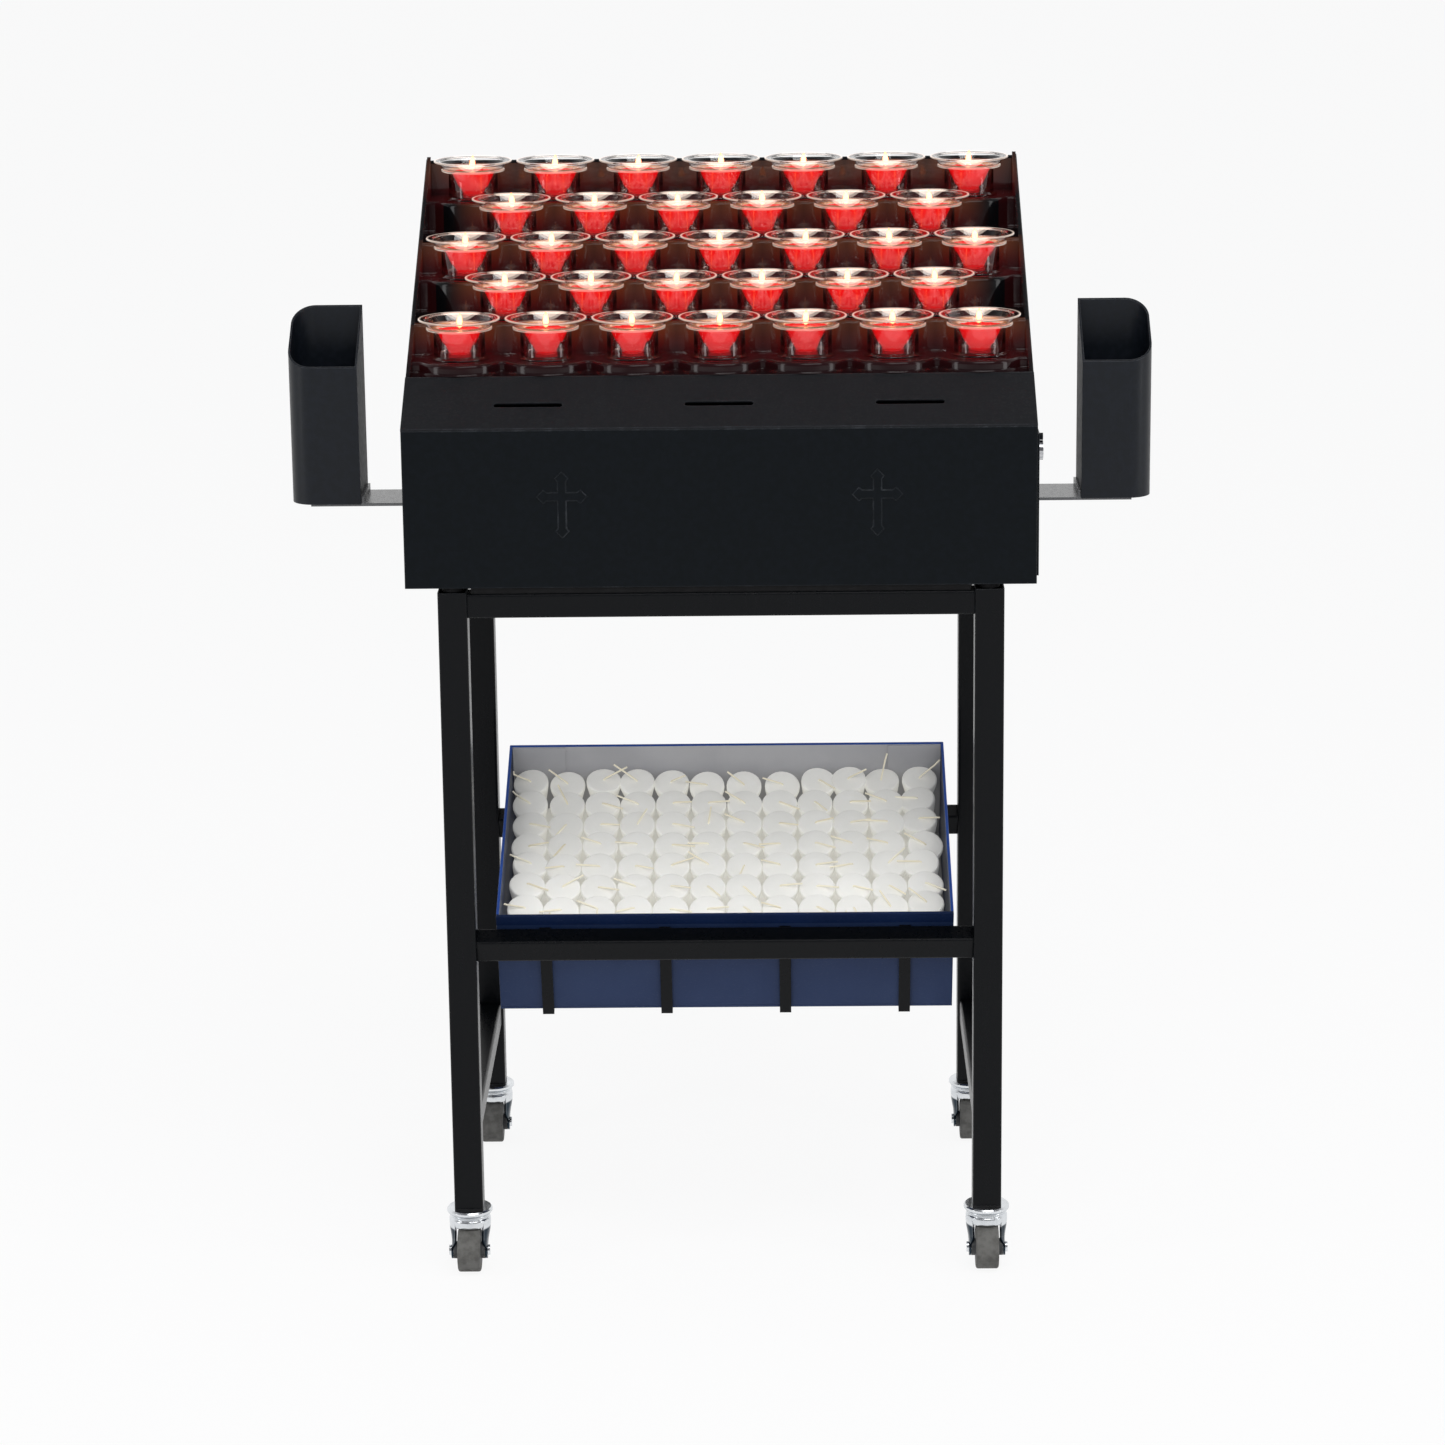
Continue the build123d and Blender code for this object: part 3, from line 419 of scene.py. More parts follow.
def lamp_wax(t):
    """Red wax lit from within: it glows most near its top, and turns amber in the pool round the wick."""
    near = t.group("lamp_nearness")
    cloud = t.noise(t.place(), 90.0, 3.0)
    lit = t.ramp(near["Height"], 0.004, 0.028, 0.3, 1.0)
    pool = t.math("MULTIPLY", t.ramp(near["Distance"], 0.014, 0.003),
                  t.ramp(near["Height"], 0.0285, 0.0295))
    base = t.blend(t.ramp(cloud, 0.3, 0.7), tone(120, 3, 8), tone(140, 5, 10))
    glow = t.blend(lit, tone(205, 4, 10), tone(250, 10, 16))
    glow = t.blend(pool, glow, (1.0, 0.5, 0.22, 1.0))
    bump = t.node("ShaderNodeBump", {"Strength": 0.15, "Distance": 0.0008, "Height": cloud})
    shader = t.node(
        "ShaderNodeBsdfPrincipled",
        {"Base Color": base, "Roughness": t.ramp(cloud, 0.3, 0.7, 0.2, 0.34), "Specular IOR Level": 0.12,
         "Emission Color": glow, "Emission Strength": 0.8, "Normal": bump.outputs[0]},
    )
    return shader.outputs[0]


def burnt_wick(t):
    height = t.group("lamp_nearness")["Height"]
    strands = t.node("ShaderNodeTexWave", {"Vector": t.place(), "Scale": 900.0, "Distortion": 2.0})
    char = t.ramp(height, 0.033, 0.037)
    base = t.blend(char, tone(180, 120, 90), tone(26, 18, 14))
    ember = t.blend(t.ramp(height, 0.039, 0.042), NO_LIGHT, (1.0, 0.32, 0.06, 1.0))
    bump = t.node("ShaderNodeBump", {"Strength": 0.4, "Distance": 0.0002, "Height": strands.outputs[1]})
    shader = t.node(
        "ShaderNodeBsdfPrincipled",
        {"Base Color": base, "Roughness": t.ramp(strands.outputs[1], 0.0, 1.0, 0.75, 0.95),
         "Emission Color": ember, "Emission Strength": 0.9, "Normal": bump.outputs[0]},
    )
    return shader.outputs[0]


def flame_light(t):
    """A small flame: darker at its root, cream in the middle, orange at its edge and tip."""
    height = t.group("lamp_nearness")["Height"]
    lick = t.noise(t.place(), 260.0, 2.0)
    edge = t.node("ShaderNodeLayerWeight", {"Blend": 0.35}).outputs["Facing"]
    heart = t.blend(t.ramp(edge, 0.25, 0.8), (1.0, 0.34, 0.17, 1.0), (1.0, 0.14, 0.022, 1.0))
    colour = t.blend(t.ramp(height, 0.033, 0.036), (0.2, 0.05, 0.02, 1.0), heart)
    colour = t.blend(t.ramp(height, 0.043, 0.0475), colour, (0.8, 0.1, 0.015, 1.0))
    colour = t.blend(t.ramp(lick, 0.45, 0.8, 0.0, 0.25), colour, (1.0, 0.2, 0.05, 1.0))
    shader = t.node(
        "ShaderNodeBsdfPrincipled",
        {"Base Color": (0.9, 0.6, 0.3, 1.0), "Roughness": 0.9, "Specular IOR Level": 0.0,
         "Emission Color": colour, "Emission Strength": 3.6},
    )
    return shader.outputs[0]


def spare_wax(t):
    """White candle wax: each candle a shade apart, with faint bloom and pour marks, and a faint painted glow
    that lifts its shading.
    """
    own = t.node("ShaderNodeNewGeometry").outputs["Random Per Island"]
    place = t.place()
    bloom = t.noise(place, 46.0, 5.0, 0.6)
    base = t.blend(own, tone(241, 240, 235), tone(235, 234, 229))
    base = t.blend(t.ramp(bloom, 0.45, 0.75, 0.0, 0.5), base, tone(244, 243, 240))
    pours = t.noise(place, 210.0, 4.0)
    bump = t.node("ShaderNodeBump", {"Strength": 0.25, "Distance": 0.0007, "Height": pours})
    # The emission is a painted glow that lifts the shaded sides and gaps of the wax.
    shader = t.node(
        "ShaderNodeBsdfPrincipled",
        {"Base Color": base, "Roughness": t.ramp(bloom, 0.3, 0.7, 0.42, 0.6), "Specular IOR Level": 0.4,
         "Emission Color": base, "Emission Strength": 0.14, "Normal": bump.outputs[0]},
    )
    return shader.outputs[0]


def wick_thread(t):
    own = t.node("ShaderNodeNewGeometry").outputs["Random Per Island"]
    braid = t.node("ShaderNodeTexWave", {"Vector": t.place(), "Scale": 420.0, "Distortion": 3.0})
    base = t.blend(own, tone(247, 241, 222), tone(236, 228, 204))
    bump = t.node("ShaderNodeBump", {"Strength": 0.4, "Distance": 0.0002, "Height": braid.outputs[1]})
    # The emission is a painted glow that lifts the threads' shading.
    shader = t.node(
        "ShaderNodeBsdfPrincipled",
        {"Base Color": base, "Roughness": t.ramp(braid.outputs[1], 0.0, 1.0, 0.6, 0.8),
         "Normal": bump.outputs[0], "Emission Color": base, "Emission Strength": 0.12},
    )
    return shader.outputs[0]


def paper_board(colour, patch, roughness, specular):
    """Board with paper fibres and slight waves from its flutes."""
    def build(t):
        place = t.place()
        fibres = t.node("ShaderNodeMapping", {"Vector": place, "Scale": (1.0, 6.0, 6.0)}).outputs[0]
        fuzz = t.noise(fibres, 320.0, 4.0, 0.65)
        cloud = t.noise(place, 12.0, 3.0)
        base = t.blend(t.ramp(cloud, 0.35, 0.7), colour, patch)
        base = t.blend(t.ramp(fuzz, 0.55, 0.85, 0.0, 0.18), base, tone(150, 156, 176))
        flutes = t.node("ShaderNodeTexWave", {"Vector": place, "Scale": 42.0, "Distortion": 0.4})
        height = t.math("ADD", t.math("MULTIPLY", flutes.outputs[1], 0.5), fuzz)
        bump = t.node("ShaderNodeBump", {"Strength": 0.12, "Distance": 0.0006, "Height": height})
        shader = t.node(
            "ShaderNodeBsdfPrincipled",
            {"Base Color": base, "Roughness": t.ramp(fuzz, 0.3, 0.7, roughness, roughness + 0.12),
             "Specular IOR Level": specular, "Normal": bump.outputs[0]},
        )
        return shader.outputs[0]
    return build


finish("cup_glass", clear_glass(0.01, 0.05, 0.1, 0.24, 0.0333))
finish("insert_glass", clear_glass(0.01, 0.05, 0.14, 0.4, 0.0411))
finish("lamp_wax", lamp_wax)
finish("burnt_wick", burnt_wick)
finish("flame_light", flame_light)
finish("spare_wax", spare_wax)
finish("wick_thread", wick_thread)
finish("board_blue", paper_board(tone(30, 47, 82), tone(36, 53, 88), 0.42, 0.25))
finish("board_edge", paper_board(tone(30, 68, 146), tone(36, 76, 156), 0.4, 0.3))
finish("board_band", paper_board(tone(10, 28, 62), tone(13, 33, 70), 0.4, 0.2))
finish("board_grey", paper_board(tone(184, 184, 187), tone(174, 174, 178), 0.7, 0.2))

CORNERS = ("front_left", "front_right", "rear_left", "rear_right")


def at_corners(part):
    return [f"{part}_{corner}" for corner in CORNERS]


CARRIED = {
    "box_coat": ["box_front", "box_side_left", "box_side_right", "box_back", "box_floor", "coin_drawer",
                 "coin_partition"],
    "panel_coat": ["slot_panel"],
    "frame_coat": [*at_corners("leg"), "top_rail_front", "top_rail_rear", "top_side_rails", "low_side_rails",
                   "cradle_rail_front", "cradle_rail_rear", "cradle_bars"],
    "arm_coat": ["bin_arm_left", "bin_arm_right"],
    "bin_coat": ["bin_left", "bin_right"],
    "tray_enamel": ["tray_side_left", "tray_side_right", "tray_back"],
    "stem_zinc": ["caster_stems", *at_corners("axle")],
    "bolt_zinc": ["arm_bolts", "arm_nuts"],
    "lock_nickel": ["lock_body", "lock_plug"],
    "tyre_grey": at_corners("tyre"),
    "hub_grey": at_corners("hub"),
    "pad_black": ["box_pads"],
    "plug_black": ["leg_plugs"],
}
for coat, names in CARRIED.items():
    for name in names:
        for held in NODES[name].material_slots:
            held.material = finishes[coat]


# ---------------------------------------------------------------- mesh helpers

SHARP = math.radians(50)


def piece(name, body, materials, bm, smooth=True):
    mesh = bpy.data.meshes.new(name)
    bmesh.ops.recalc_face_normals(bm, faces=bm.faces)
    for edge in bm.edges:
        edge.smooth = edge.calc_face_angle(0.0) < SHARP
    bm.to_mesh(mesh)
    bm.free()
    for material in materials:
        mesh.materials.append(finishes[material])
    for face in mesh.polygons:
        face.use_smooth = smooth
    made = bpy.data.objects.new(name, mesh)
    scene.collection.objects.link(made)
    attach(made, body)
    return made


def scaled(outline):
    return [(r * MM, z * MM) for r, z in outline]


def turned(bm, outline, where, sides=40):
    """Turns an outline of (radius, height) pairs about the Z axis into a closed surface."""
    rings = []
    for radius, height in outline:
        if radius < 1e-9:
            rings.append([bm.verts.new(where @ Vector((0.0, 0.0, height)))])
            continue
        rings.append([
            bm.verts.new(where @ Vector((radius * math.cos(a), radius * math.sin(a), height)))
            for a in (2 * math.pi * i / sides for i in range(sides))
        ])
    for low, high in zip(rings, rings[1:]):
        for i in range(sides):
            j = (i + 1) % sides
            corners = [low[i % len(low)], low[j % len(low)], high[j % len(high)], high[i % len(high)]]
            corners = list(dict.fromkeys(corners))
            if len(corners) > 2:
                bm.faces.new(corners)


def rounded(outline, radius, steps=3):
    """Rounds each inner corner of an outline by up to a radius."""
    made = [outline[0]]
    for before, corner, after in zip(outline, outline[1:], outline[2:]):
        a, c, b = (Vector(p) for p in (before, corner, after))
        reach = min(radius, (a - c).length * 0.45, (b - c).length * 0.45)
        start = c + (a - c).normalized() * reach
        stop = c + (b - c).normalized() * reach
        for i in range(steps + 1):
            s = i / steps
            made.append(tuple(start * (1 - s) ** 2 + c * 2 * s * (1 - s) + stop * s * s))
    made.append(outline[-1])
    return made


def tube(bm, path, radii, sides=8):
    """A round rope of points with a radius at each, closed at both ends."""
    rings = []
    side = Vector((1.0, 0.0, 0.0))
    for i, point in enumerate(path):
        along = (path[min(i + 1, len(path) - 1)] - path[max(i - 1, 0)]).normalized()
        side = (side - along * side.dot(along)).normalized()
        other = along.cross(side)
        rings.append([
            bm.verts.new(point + (side * math.cos(a) + other * math.sin(a)) * radii[i])
            for a in (2 * math.pi * k / sides for k in range(sides))
        ])
    for low, high in zip(rings, rings[1:]):
        for k in range(sides):
            j = (k + 1) % sides
            bm.faces.new([low[k], low[j], high[j], high[k]])
    bm.faces.new(rings[0][::-1])
    bm.faces.new(rings[-1])


# ---------------------------------------------------------------- the lamps

WICK_LOW = 20.4 * MM   # the lower ends of the CAD wicks, above the step


def lamp_places():
    """The middle of each lamp on its step, from the CAD wicks: (x, y, height of the step)."""
    found = []
    for v in NODES["candle_wicks"].data.vertices:
        near = [f for f in found if abs(f[0].x - v.co.x) < 3 * MM and abs(f[0].y - v.co.y) < 3 * MM]
        if near:
            near[0].append(v.co)
        else:
            found.append([v.co])
    places = []
    for group in found:
        xs, ys, zs = ([p[i] for p in group] for i in range(3))
        places.append(((min(xs) + max(xs)) / 2, (min(ys) + max(ys)) / 2, min(zs) - WICK_LOW))
    return sorted(places, key=lambda p: (round(p[1], 3), p[0]))


# Outlines are (radius, height above the step) in millimetres.
CUP_OUTLINE = [
    (0, 0.3), (20, 0.3), (22, 0), (30.5, 0), (30.5, 2.6), (26.6, 3.6), (26.4, 30.2), (34, 30.6),
    (34, 33), (25.0, 33), (24.9, 4.2), (22, 2.8), (0, 2.6),
]
INSERT_OUTLINE = [
    (0, 3.6), (12.6, 3.6), (24.3, 32.6), (33, 33), (36.4, 39.8), (42, 40.4), (42, 42), (35.4, 41.6),
    (32.2, 34.2), (23.2, 34.2), (11.6, 4.8), (0, 4.8),
]
WAX_OUTLINE = [
    (0, 4.8), (11.5, 4.8), (22.5, 32.0), (21.9, 32.3), (20.6, 31.2), (16.0, 30.4), (5.0, 30.2),
    (1.4, 31.0), (0, 31.0),
]
WICK_HEIGHTS, WICK_RADII = (24, 31, 35, 38.4, 40), (0.8, 0.8, 0.75, 0.7, 0.35)
WICK_LEANS = (0, 0, 0.3, 1.0, 1.7)
FLAME_ROOT, FLAME_SWAYS_OVER = 33.2, 14.4
FLAME_OUTLINE = [
    (0.6, 33.2), (1.8, 34.2), (2.7, 36.0), (3.1, 38.4), (2.8, 41.0), (2.1, 43.4), (1.2, 45.6), (0.5, 47.2),
    (0.12, 47.9),
]
GLASS_SIDES, WAX_SIDES, FLAME_SIDES = 44, 40, 12
LAMPS = lamp_places()
steps = sorted({round(p[1], 3): p[2] for p in LAMPS}.items())
row_step = {
    "First Row": steps[0][0], "Row Pitch": steps[1][0] - steps[0][0], "First Step": steps[0][1],
    "Rise": steps[1][1] - steps[0][1], "Cup Pitch": LAMPS[1][0] - LAMPS[0][0],
}
for name in ("cup_glass", "insert_glass", "lamp_wax", "burnt_wick", "flame_light", "tray_enamel"):
    for made in finishes[name].node_tree.nodes:
        if made.type == "GROUP" and made.node_tree == effect["lamp_nearness"]:
            for label, value in row_step.items():
                made.inputs[label].default_value = value


def small_sideways(most):
    """A random step across, by up to this much in X and in Y."""
    return Vector((draw.uniform(-1, 1), draw.uniform(-1, 1), 0)) * most


cups, inserts, waxes, wicks, flames = (bmesh.new() for _ in range(5))
for x, y, z in LAMPS:
    at = Matrix.Translation((x, y, z)) @ Matrix.Rotation(draw.uniform(0, math.tau), 4, "Z")
    turned(cups, rounded(scaled(CUP_OUTLINE), 0.8 * MM, 2), at, GLASS_SIDES)
    turned(inserts, rounded(scaled(INSERT_OUTLINE), 1.0 * MM, 2), at, GLASS_SIDES)
    melt = draw.uniform(-0.6, 0.5) * MM
    level = [(r, high + (melt if high > 20 * MM else 0)) for r, high in scaled(WAX_OUTLINE)]
    turned(waxes, rounded(level, 0.8 * MM, 2), at, WAX_SIDES)
    lean = small_sideways(1.2 * MM)
    low = Vector((x, y, z))
    path = [low + Vector((0, 0, h * MM)) + lean * s for h, s in zip(WICK_HEIGHTS, WICK_LEANS)]
    tube(wicks, path, [r * MM for r in WICK_RADII])
    tall = draw.uniform(0.9, 1.0)
    sway = small_sideways(0.9 * MM)
    path = [
        low + lean * 0.8 + Vector((0, 0, (FLAME_ROOT + (h - FLAME_ROOT) * tall) * MM))
        + sway * ((h - FLAME_ROOT) / FLAME_SWAYS_OVER) ** 2
        for _, h in FLAME_OUTLINE
    ]
    tube(flames, path, [r * MM for r, _ in FLAME_OUTLINE], FLAME_SIDES)

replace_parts(piece("lamp_cups", "rack", ["cup_glass"], cups), "candle_cups")
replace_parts(piece("lamp_inserts", "rack", ["insert_glass"], inserts), "cup_inserts")
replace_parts(piece("lamp_wax_fills", "rack", ["lamp_wax"], waxes), "candle_wax")
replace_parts(piece("lamp_wicks", "rack", ["burnt_wick"], wicks), "candle_wicks")
piece("lamp_flames", "rack", ["flame_light"], flames)


# ---------------------------------------------------------------- the pressed steps of the tray

SCALLOP, FILLET, SHEET, LIP, COVE = 45 * MM, 5 * MM, 2 * MM, 3.2 * MM, 2.4 * MM
SCALLOP_PARTS, FILLET_PARTS = 16, 6
LIP_LEVEL, END_CLEAR, END_FLAT = 0.8 * MM, 1.2 * MM, 5 * MM
ARC = [math.radians(a) for a in (0, 18, 36, 54, 72, 90)]


def scallop_edge(row, end):
    """The front edge of a step as (point, inward normal) pairs, from its left end to its right end."""
    middle, pitch = steps[row][0], row_step["Cup Pitch"]
    valley, reach = pitch / 2, SCALLOP + FILLET
    notch = math.sqrt(reach**2 - valley**2)
    turn = math.asin(valley / reach)
    long_row = row % 2 == 0
    count = 7 if long_row else 8
    edge = []
    for i in range(count):
        x = (i - (count - 1) / 2) * pitch
        for a in (turn * (2 * k / SCALLOP_PARTS - 1) for k in range(SCALLOP_PARTS + 1)):
            sin, cos = math.sin(a), math.cos(a)
            edge.append((x + SCALLOP * sin, -SCALLOP * cos, -sin, cos))
        for a in (turn * (2 * k / FILLET_PARTS - 1) for k in range(1, FILLET_PARTS) if i < count - 1):
            sin, cos = math.sin(a), math.cos(a)
            edge.append((x + valley + FILLET * sin, -notch + FILLET * cos, sin, cos))
    edge = [e for e in edge if abs(e[0]) < end - END_CLEAR]
    flat = -SCALLOP * math.cos(turn) if long_row else -SCALLOP
    if long_row:
        edge = [(-end + END_FLAT, flat, 0, 1), *edge, (end - END_FLAT, flat, 0, 1)]
    edge = [(-end, flat, 0, 1), *edge, (end, flat, 0, 1)]
    return [(Vector((x, y + middle, 0)), Vector((nx, ny, 0))) for x, y, nx, ny in edge]


def pressed_step(row):
    """One step with a rolled lip and a coved foot, of one sheet's thickness."""
    name = f"tray_step_{row + 1}"
    low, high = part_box(name)
    top, foot = steps[row][1], steps[row][1] - row_step["Rise"]
    if row == 0:
        foot = low.z + SHEET
    outer = [(-COVE * (1 - math.sin(a)), foot + COVE * (1 - math.cos(a))) for a in ARC]
    outer += [(LIP * (1 - math.cos(a)), top - LIP * (1 - math.sin(a))) for a in ARC]
    outer.append((LIP + LIP_LEVEL, top))
    under = LIP - SHEET
    inner = [(LIP, top - SHEET), (SHEET + under * 0.3, top - SHEET - under * 0.3), (SHEET, top - LIP)]
    bm = bmesh.new()
    rings = []
    for point, inward in scallop_edge(row, high.x):
        ring = []
        if row == 0:
            ring.append(Vector((point.x, low.y, foot)))
        ring += [point + inward * d + Vector((0, 0, z)) for d, z in outer]
        ring += [Vector((point.x, high.y, top)), Vector((point.x, high.y, top - SHEET))]
        ring += [point + inward * d + Vector((0, 0, z)) for d, z in inner]
        if row == 0:
            ring.append(point + inward * SHEET + Vector((0, 0, foot - SHEET)))
            ring.append(Vector((point.x, low.y, foot - SHEET)))
        else:
            ring.append(point + inward * SHEET + Vector((0, 0, foot)))
        for v in ring:
            v.x = max(-high.x, min(high.x, v.x))
        rings.append([bm.verts.new(v) for v in ring])
    for left, right in zip(rings, rings[1:]):
        for i in range(len(left)):
            j = (i + 1) % len(left)
            bm.faces.new([left[i], right[i], right[j], left[j]])
    bm.faces.new(rings[0])
    bm.faces.new(rings[-1][::-1])
    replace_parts(piece(f"pressed_step_{row + 1}", "rack", ["tray_enamel"], bm), name)


for row in range(len(steps)):
    pressed_step(row)


# ---------------------------------------------------------------- the forks of the casters

# Sizes of a fork, in millimetres; the crown's outline is (radius, height) about the stem.
WHEEL_AHEAD, WHEEL_HIGH, BOSS = 16.0, 23.0, 9.0
CROWN_RADIUS, CHEEK_OUT, CHEEK_NEAREST, CHEEK_SHEET = 22.0, 19.0, 15.2, 2.0
CROWN_OUTLINE = [
    (5.2, 61.6), (18.6, 61.6), (21.6, 60.2), (22, 58.8), (20.4, 57.6), (20.0, 56.7), (20.4, 55.8),
    (21.8, 54.6), (22, 49.0), (21.4, 47.0), (20.2, 46.9), (20.0, 49.4), (19.0, 50.2), (5.2, 50.2),
    (5.2, 61.6),
]
CHEEK_TOP, CHEEK_TAPER = 51, 27
CHEEK_FRONT, CHEEK_REAR = (-16, -9), (12, -19)   # at the top of a cheek, and how far it moves over its taper
WRAP_LOW, WRAP_HIGH = 26, 22                     # where a cheek starts to curve round, and over what height
CHEEK_HEIGHTS = [CHEEK_TOP, 48.5, 46, 43, 40, 37, 34, 31, 28, 25, 22, 19.5, 17.5, 15.8, 14.6, 14.1]
CHEEK_PARTS = 10


def cheek_skin(side, inset):
    """One face of a cheek, from the crown down to the end below the axle, about the middle of the stem."""
    skin = []
    for z in CHEEK_HEIGHTS:
        s = (CHEEK_TOP - z) / CHEEK_TAPER
        front, rear = (top + move * s for top, move in (CHEEK_FRONT, CHEEK_REAR))
        if z < WHEEL_HIGH + 1:
            reach = math.sqrt(max(BOSS**2 - (z - WHEEL_HIGH) ** 2, 0.0))
            front, rear = -WHEEL_AHEAD - reach, -WHEEL_AHEAD + reach
        t = max(0.0, min(1.0, (z - WRAP_LOW) / WRAP_HIGH))
        t = t * t * (3 - 2 * t)
        row = []
        for i in range(CHEEK_PARTS + 1):
            y = front + (rear - front) * i / CHEEK_PARTS
            wrapped = math.sqrt(max((CROWN_RADIUS - 0.2) ** 2 - y * y, 0.0))
            out = max(CHEEK_OUT * (1 - t) + wrapped * t, CHEEK_NEAREST) - inset
            row.append(Vector((side * out, y, z)) * MM)
        skin.append(row)
    return skin


def fork_shell(bm, x, y):
    """A grooved crown with a short skirt, and two cheeks, round with the crown and flat beside the wheel."""
    at = Matrix.Translation((x, y, 0))
    turned(bm, rounded(scaled(CROWN_OUTLINE), 0.7 * MM, 2), at, 56)
    bmesh.ops.remove_doubles(bm, verts=bm.verts, dist=0.01 * MM)
    for side in (-1, 1):
        skins = [
            [[bm.verts.new(at @ v) for v in row] for row in cheek_skin(side, inset)]
            for inset in (0.0, CHEEK_SHEET)
        ]
        for skin in skins:
            for high, low in zip(skin, skin[1:]):
                for i in range(len(high) - 1):
                    bm.faces.new([high[i], high[i + 1], low[i + 1], low[i]])
        outer, inner = (
            skin[0] + [row[-1] for row in skin[1:]] + skin[-1][-2::-1] + [row[0] for row in skin[-2:0:-1]]
            for skin in skins
        )
        for i in range(len(outer)):
            j = (i + 1) % len(outer)
            bm.faces.new([outer[i], outer[j], inner[j], inner[i]])


for corner in CORNERS:
    low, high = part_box(f"fork_{corner}")
    shell = bmesh.new()
    fork_shell(shell, (low.x + high.x) / 2, high.y - CROWN_RADIUS * MM)
    fork = piece(f"caster_fork_{corner}", f"caster_{corner}", ["caster_zinc"], shell)
    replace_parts(fork, f"fork_{corner}")


# ---------------------------------------------------------------- the carton and the spare candles

TILT = math.radians(20.0)
CARTON_WIDE, CARTON_LONG, CARTON_HIGH, BOARD = 0.476, 0.310, 0.123, 0.003
BAND_HIGH, BAND_PROUD = 12 * MM, 0.4 * MM       # the folded strip along the top of the front
FLAP_LONG, FLAP_THICK = 58 * MM, 1.2 * MM       # the flaps that lie on the inside of the back
FOLD, CUT_EDGE = 1.2 * MM, 1.4 * MM
BLUE, GREY, EDGE, BAND = range(4)               # the board's materials, in their order on the piece
HALF = CARTON_WIDE / 2
carton_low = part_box("carton")[0]
carton_corner = Vector((0.0, carton_low.y + CARTON_HIGH * math.sin(TILT), carton_low.z))
IN_CRADLE = Matrix.Translation(carton_corner) @ Matrix.Rotation(TILT, 4, "X")
FROM_CRADLE = IN_CRADLE.inverted()


def board_panel(bm, low, high, corner=0.6 * MM):
    """One board wall between two corners, in the cradle's axes, with softened edges."""
    made = bmesh.ops.create_cube(bm, size=1.0)["verts"]
    size = Vector(high) - Vector(low)
    middle = (Vector(high) + Vector(low)) / 2
    for v in made:
        v.co = Vector((v.co.x * size.x, v.co.y * size.y, v.co.z * size.z)) + middle
    edges = {e for v in made for e in v.link_edges}
    bmesh.ops.bevel(bm, geom=list(edges), offset=corner, segments=2, profile=0.7, affect="EDGES")


def board_at(at, facing):
    """Which of the board's materials a face has, from its middle and its direction in the cradle's axes."""
    at_top = at.z > CARTON_HIGH - CUT_EDGE
    across = abs(at.x) < HALF - BOARD * 0.5 and BOARD * 0.5 < at.y < CARTON_LONG - BOARD * 0.5
    if across and at.z > BOARD * 0.9 and not at_top:
        # The inner faces of the side walls take the dark board of the band; the rest of the board's inside
        # is grey.
        return BAND if abs(at.x) > HALF - 2 * BOARD and abs(facing.x) > 0.5 else GREY
    if at_top:
        return EDGE if at.y > BOARD * 1.2 else BAND
    return BAND if at.y < 0.0 and at.z > CARTON_HIGH - BAND_HIGH else BLUE


carton = bmesh.new()
back = CARTON_LONG - BOARD
board_panel(carton, (-HALF, 0, 0), (HALF, CARTON_LONG, BOARD))
board_panel(carton, (-HALF, 0, BOARD), (HALF, BOARD, CARTON_HIGH), FOLD)
board_panel(carton, (-HALF, -BAND_PROUD, CARTON_HIGH - BAND_HIGH),
            (HALF, BAND_PROUD, CARTON_HIGH - 0.6 * MM), 0.3 * MM)
board_panel(carton, (-HALF, back, BOARD), (HALF, CARTON_LONG, CARTON_HIGH), FOLD)
for side in (-1, 1):
    x0, x1 = sorted((side * HALF, side * (HALF - BOARD)))
    board_panel(carton, (x0, BOARD, BOARD), (x1, back, CARTON_HIGH), FOLD)
    x0, x1 = sorted((side * (HALF - BOARD), side * (HALF - BOARD - FLAP_LONG)))
    board_panel(carton, (x0, back - FLAP_THICK, BOARD), (x1, back, CARTON_HIGH - 2 * MM))
for v in carton.verts:
    v.co = IN_CRADLE @ v.co
carton_piece = piece("carton_board", "carton",
                     ["board_blue", "board_grey", "board_edge", "board_band"], carton, smooth=False)
for face in carton_piece.data.polygons:
    face.material_index = board_at(FROM_CRADLE @ face.center, FROM_CRADLE.to_3x3() @ face.normal)
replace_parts(carton_piece, "carton")


def inside_walls(point, gap):
    """The same point, kept this far inside the carton's walls."""
    at = FROM_CRADLE @ point
    at.x = max(-HALF + BOARD + gap, min(HALF - BOARD - gap, at.x))
    at.y = max(BOARD + gap, min(CARTON_LONG - BOARD - FLAP_THICK - gap, at.y))
    return IN_CRADLE @ at


COLUMNS, ROWS, COLUMN_PITCH, ROW_PITCH = 12, 8, 38.6 * MM, 38.0 * MM
SPARE_OUTLINE = scaled([
    (0, 0), (12.8, 0), (13.8, 0.9), (18.8, 21.0), (19.2, 23.5), (19.2, 27.0), (18.1, 28.3), (9.0, 28.9),
    (0, 28.7),
])
SPARE_HIGH = 28.4 * MM
SUNK = 6 * MM                     # how far the middle layer sinks between the candles of the lowest
LEAN, LEAN_SPREAD = 13, 3         # degrees that the top layer leans to the front
WICK_RADIUS = 1.0 * MM
WICK_REACH = (0.08, 0.35, 0.7, 1.0)
spares, threads = bmesh.new(), bmesh.new()
margin = (CARTON_LONG - (ROWS - 1) * ROW_PITCH) / 2


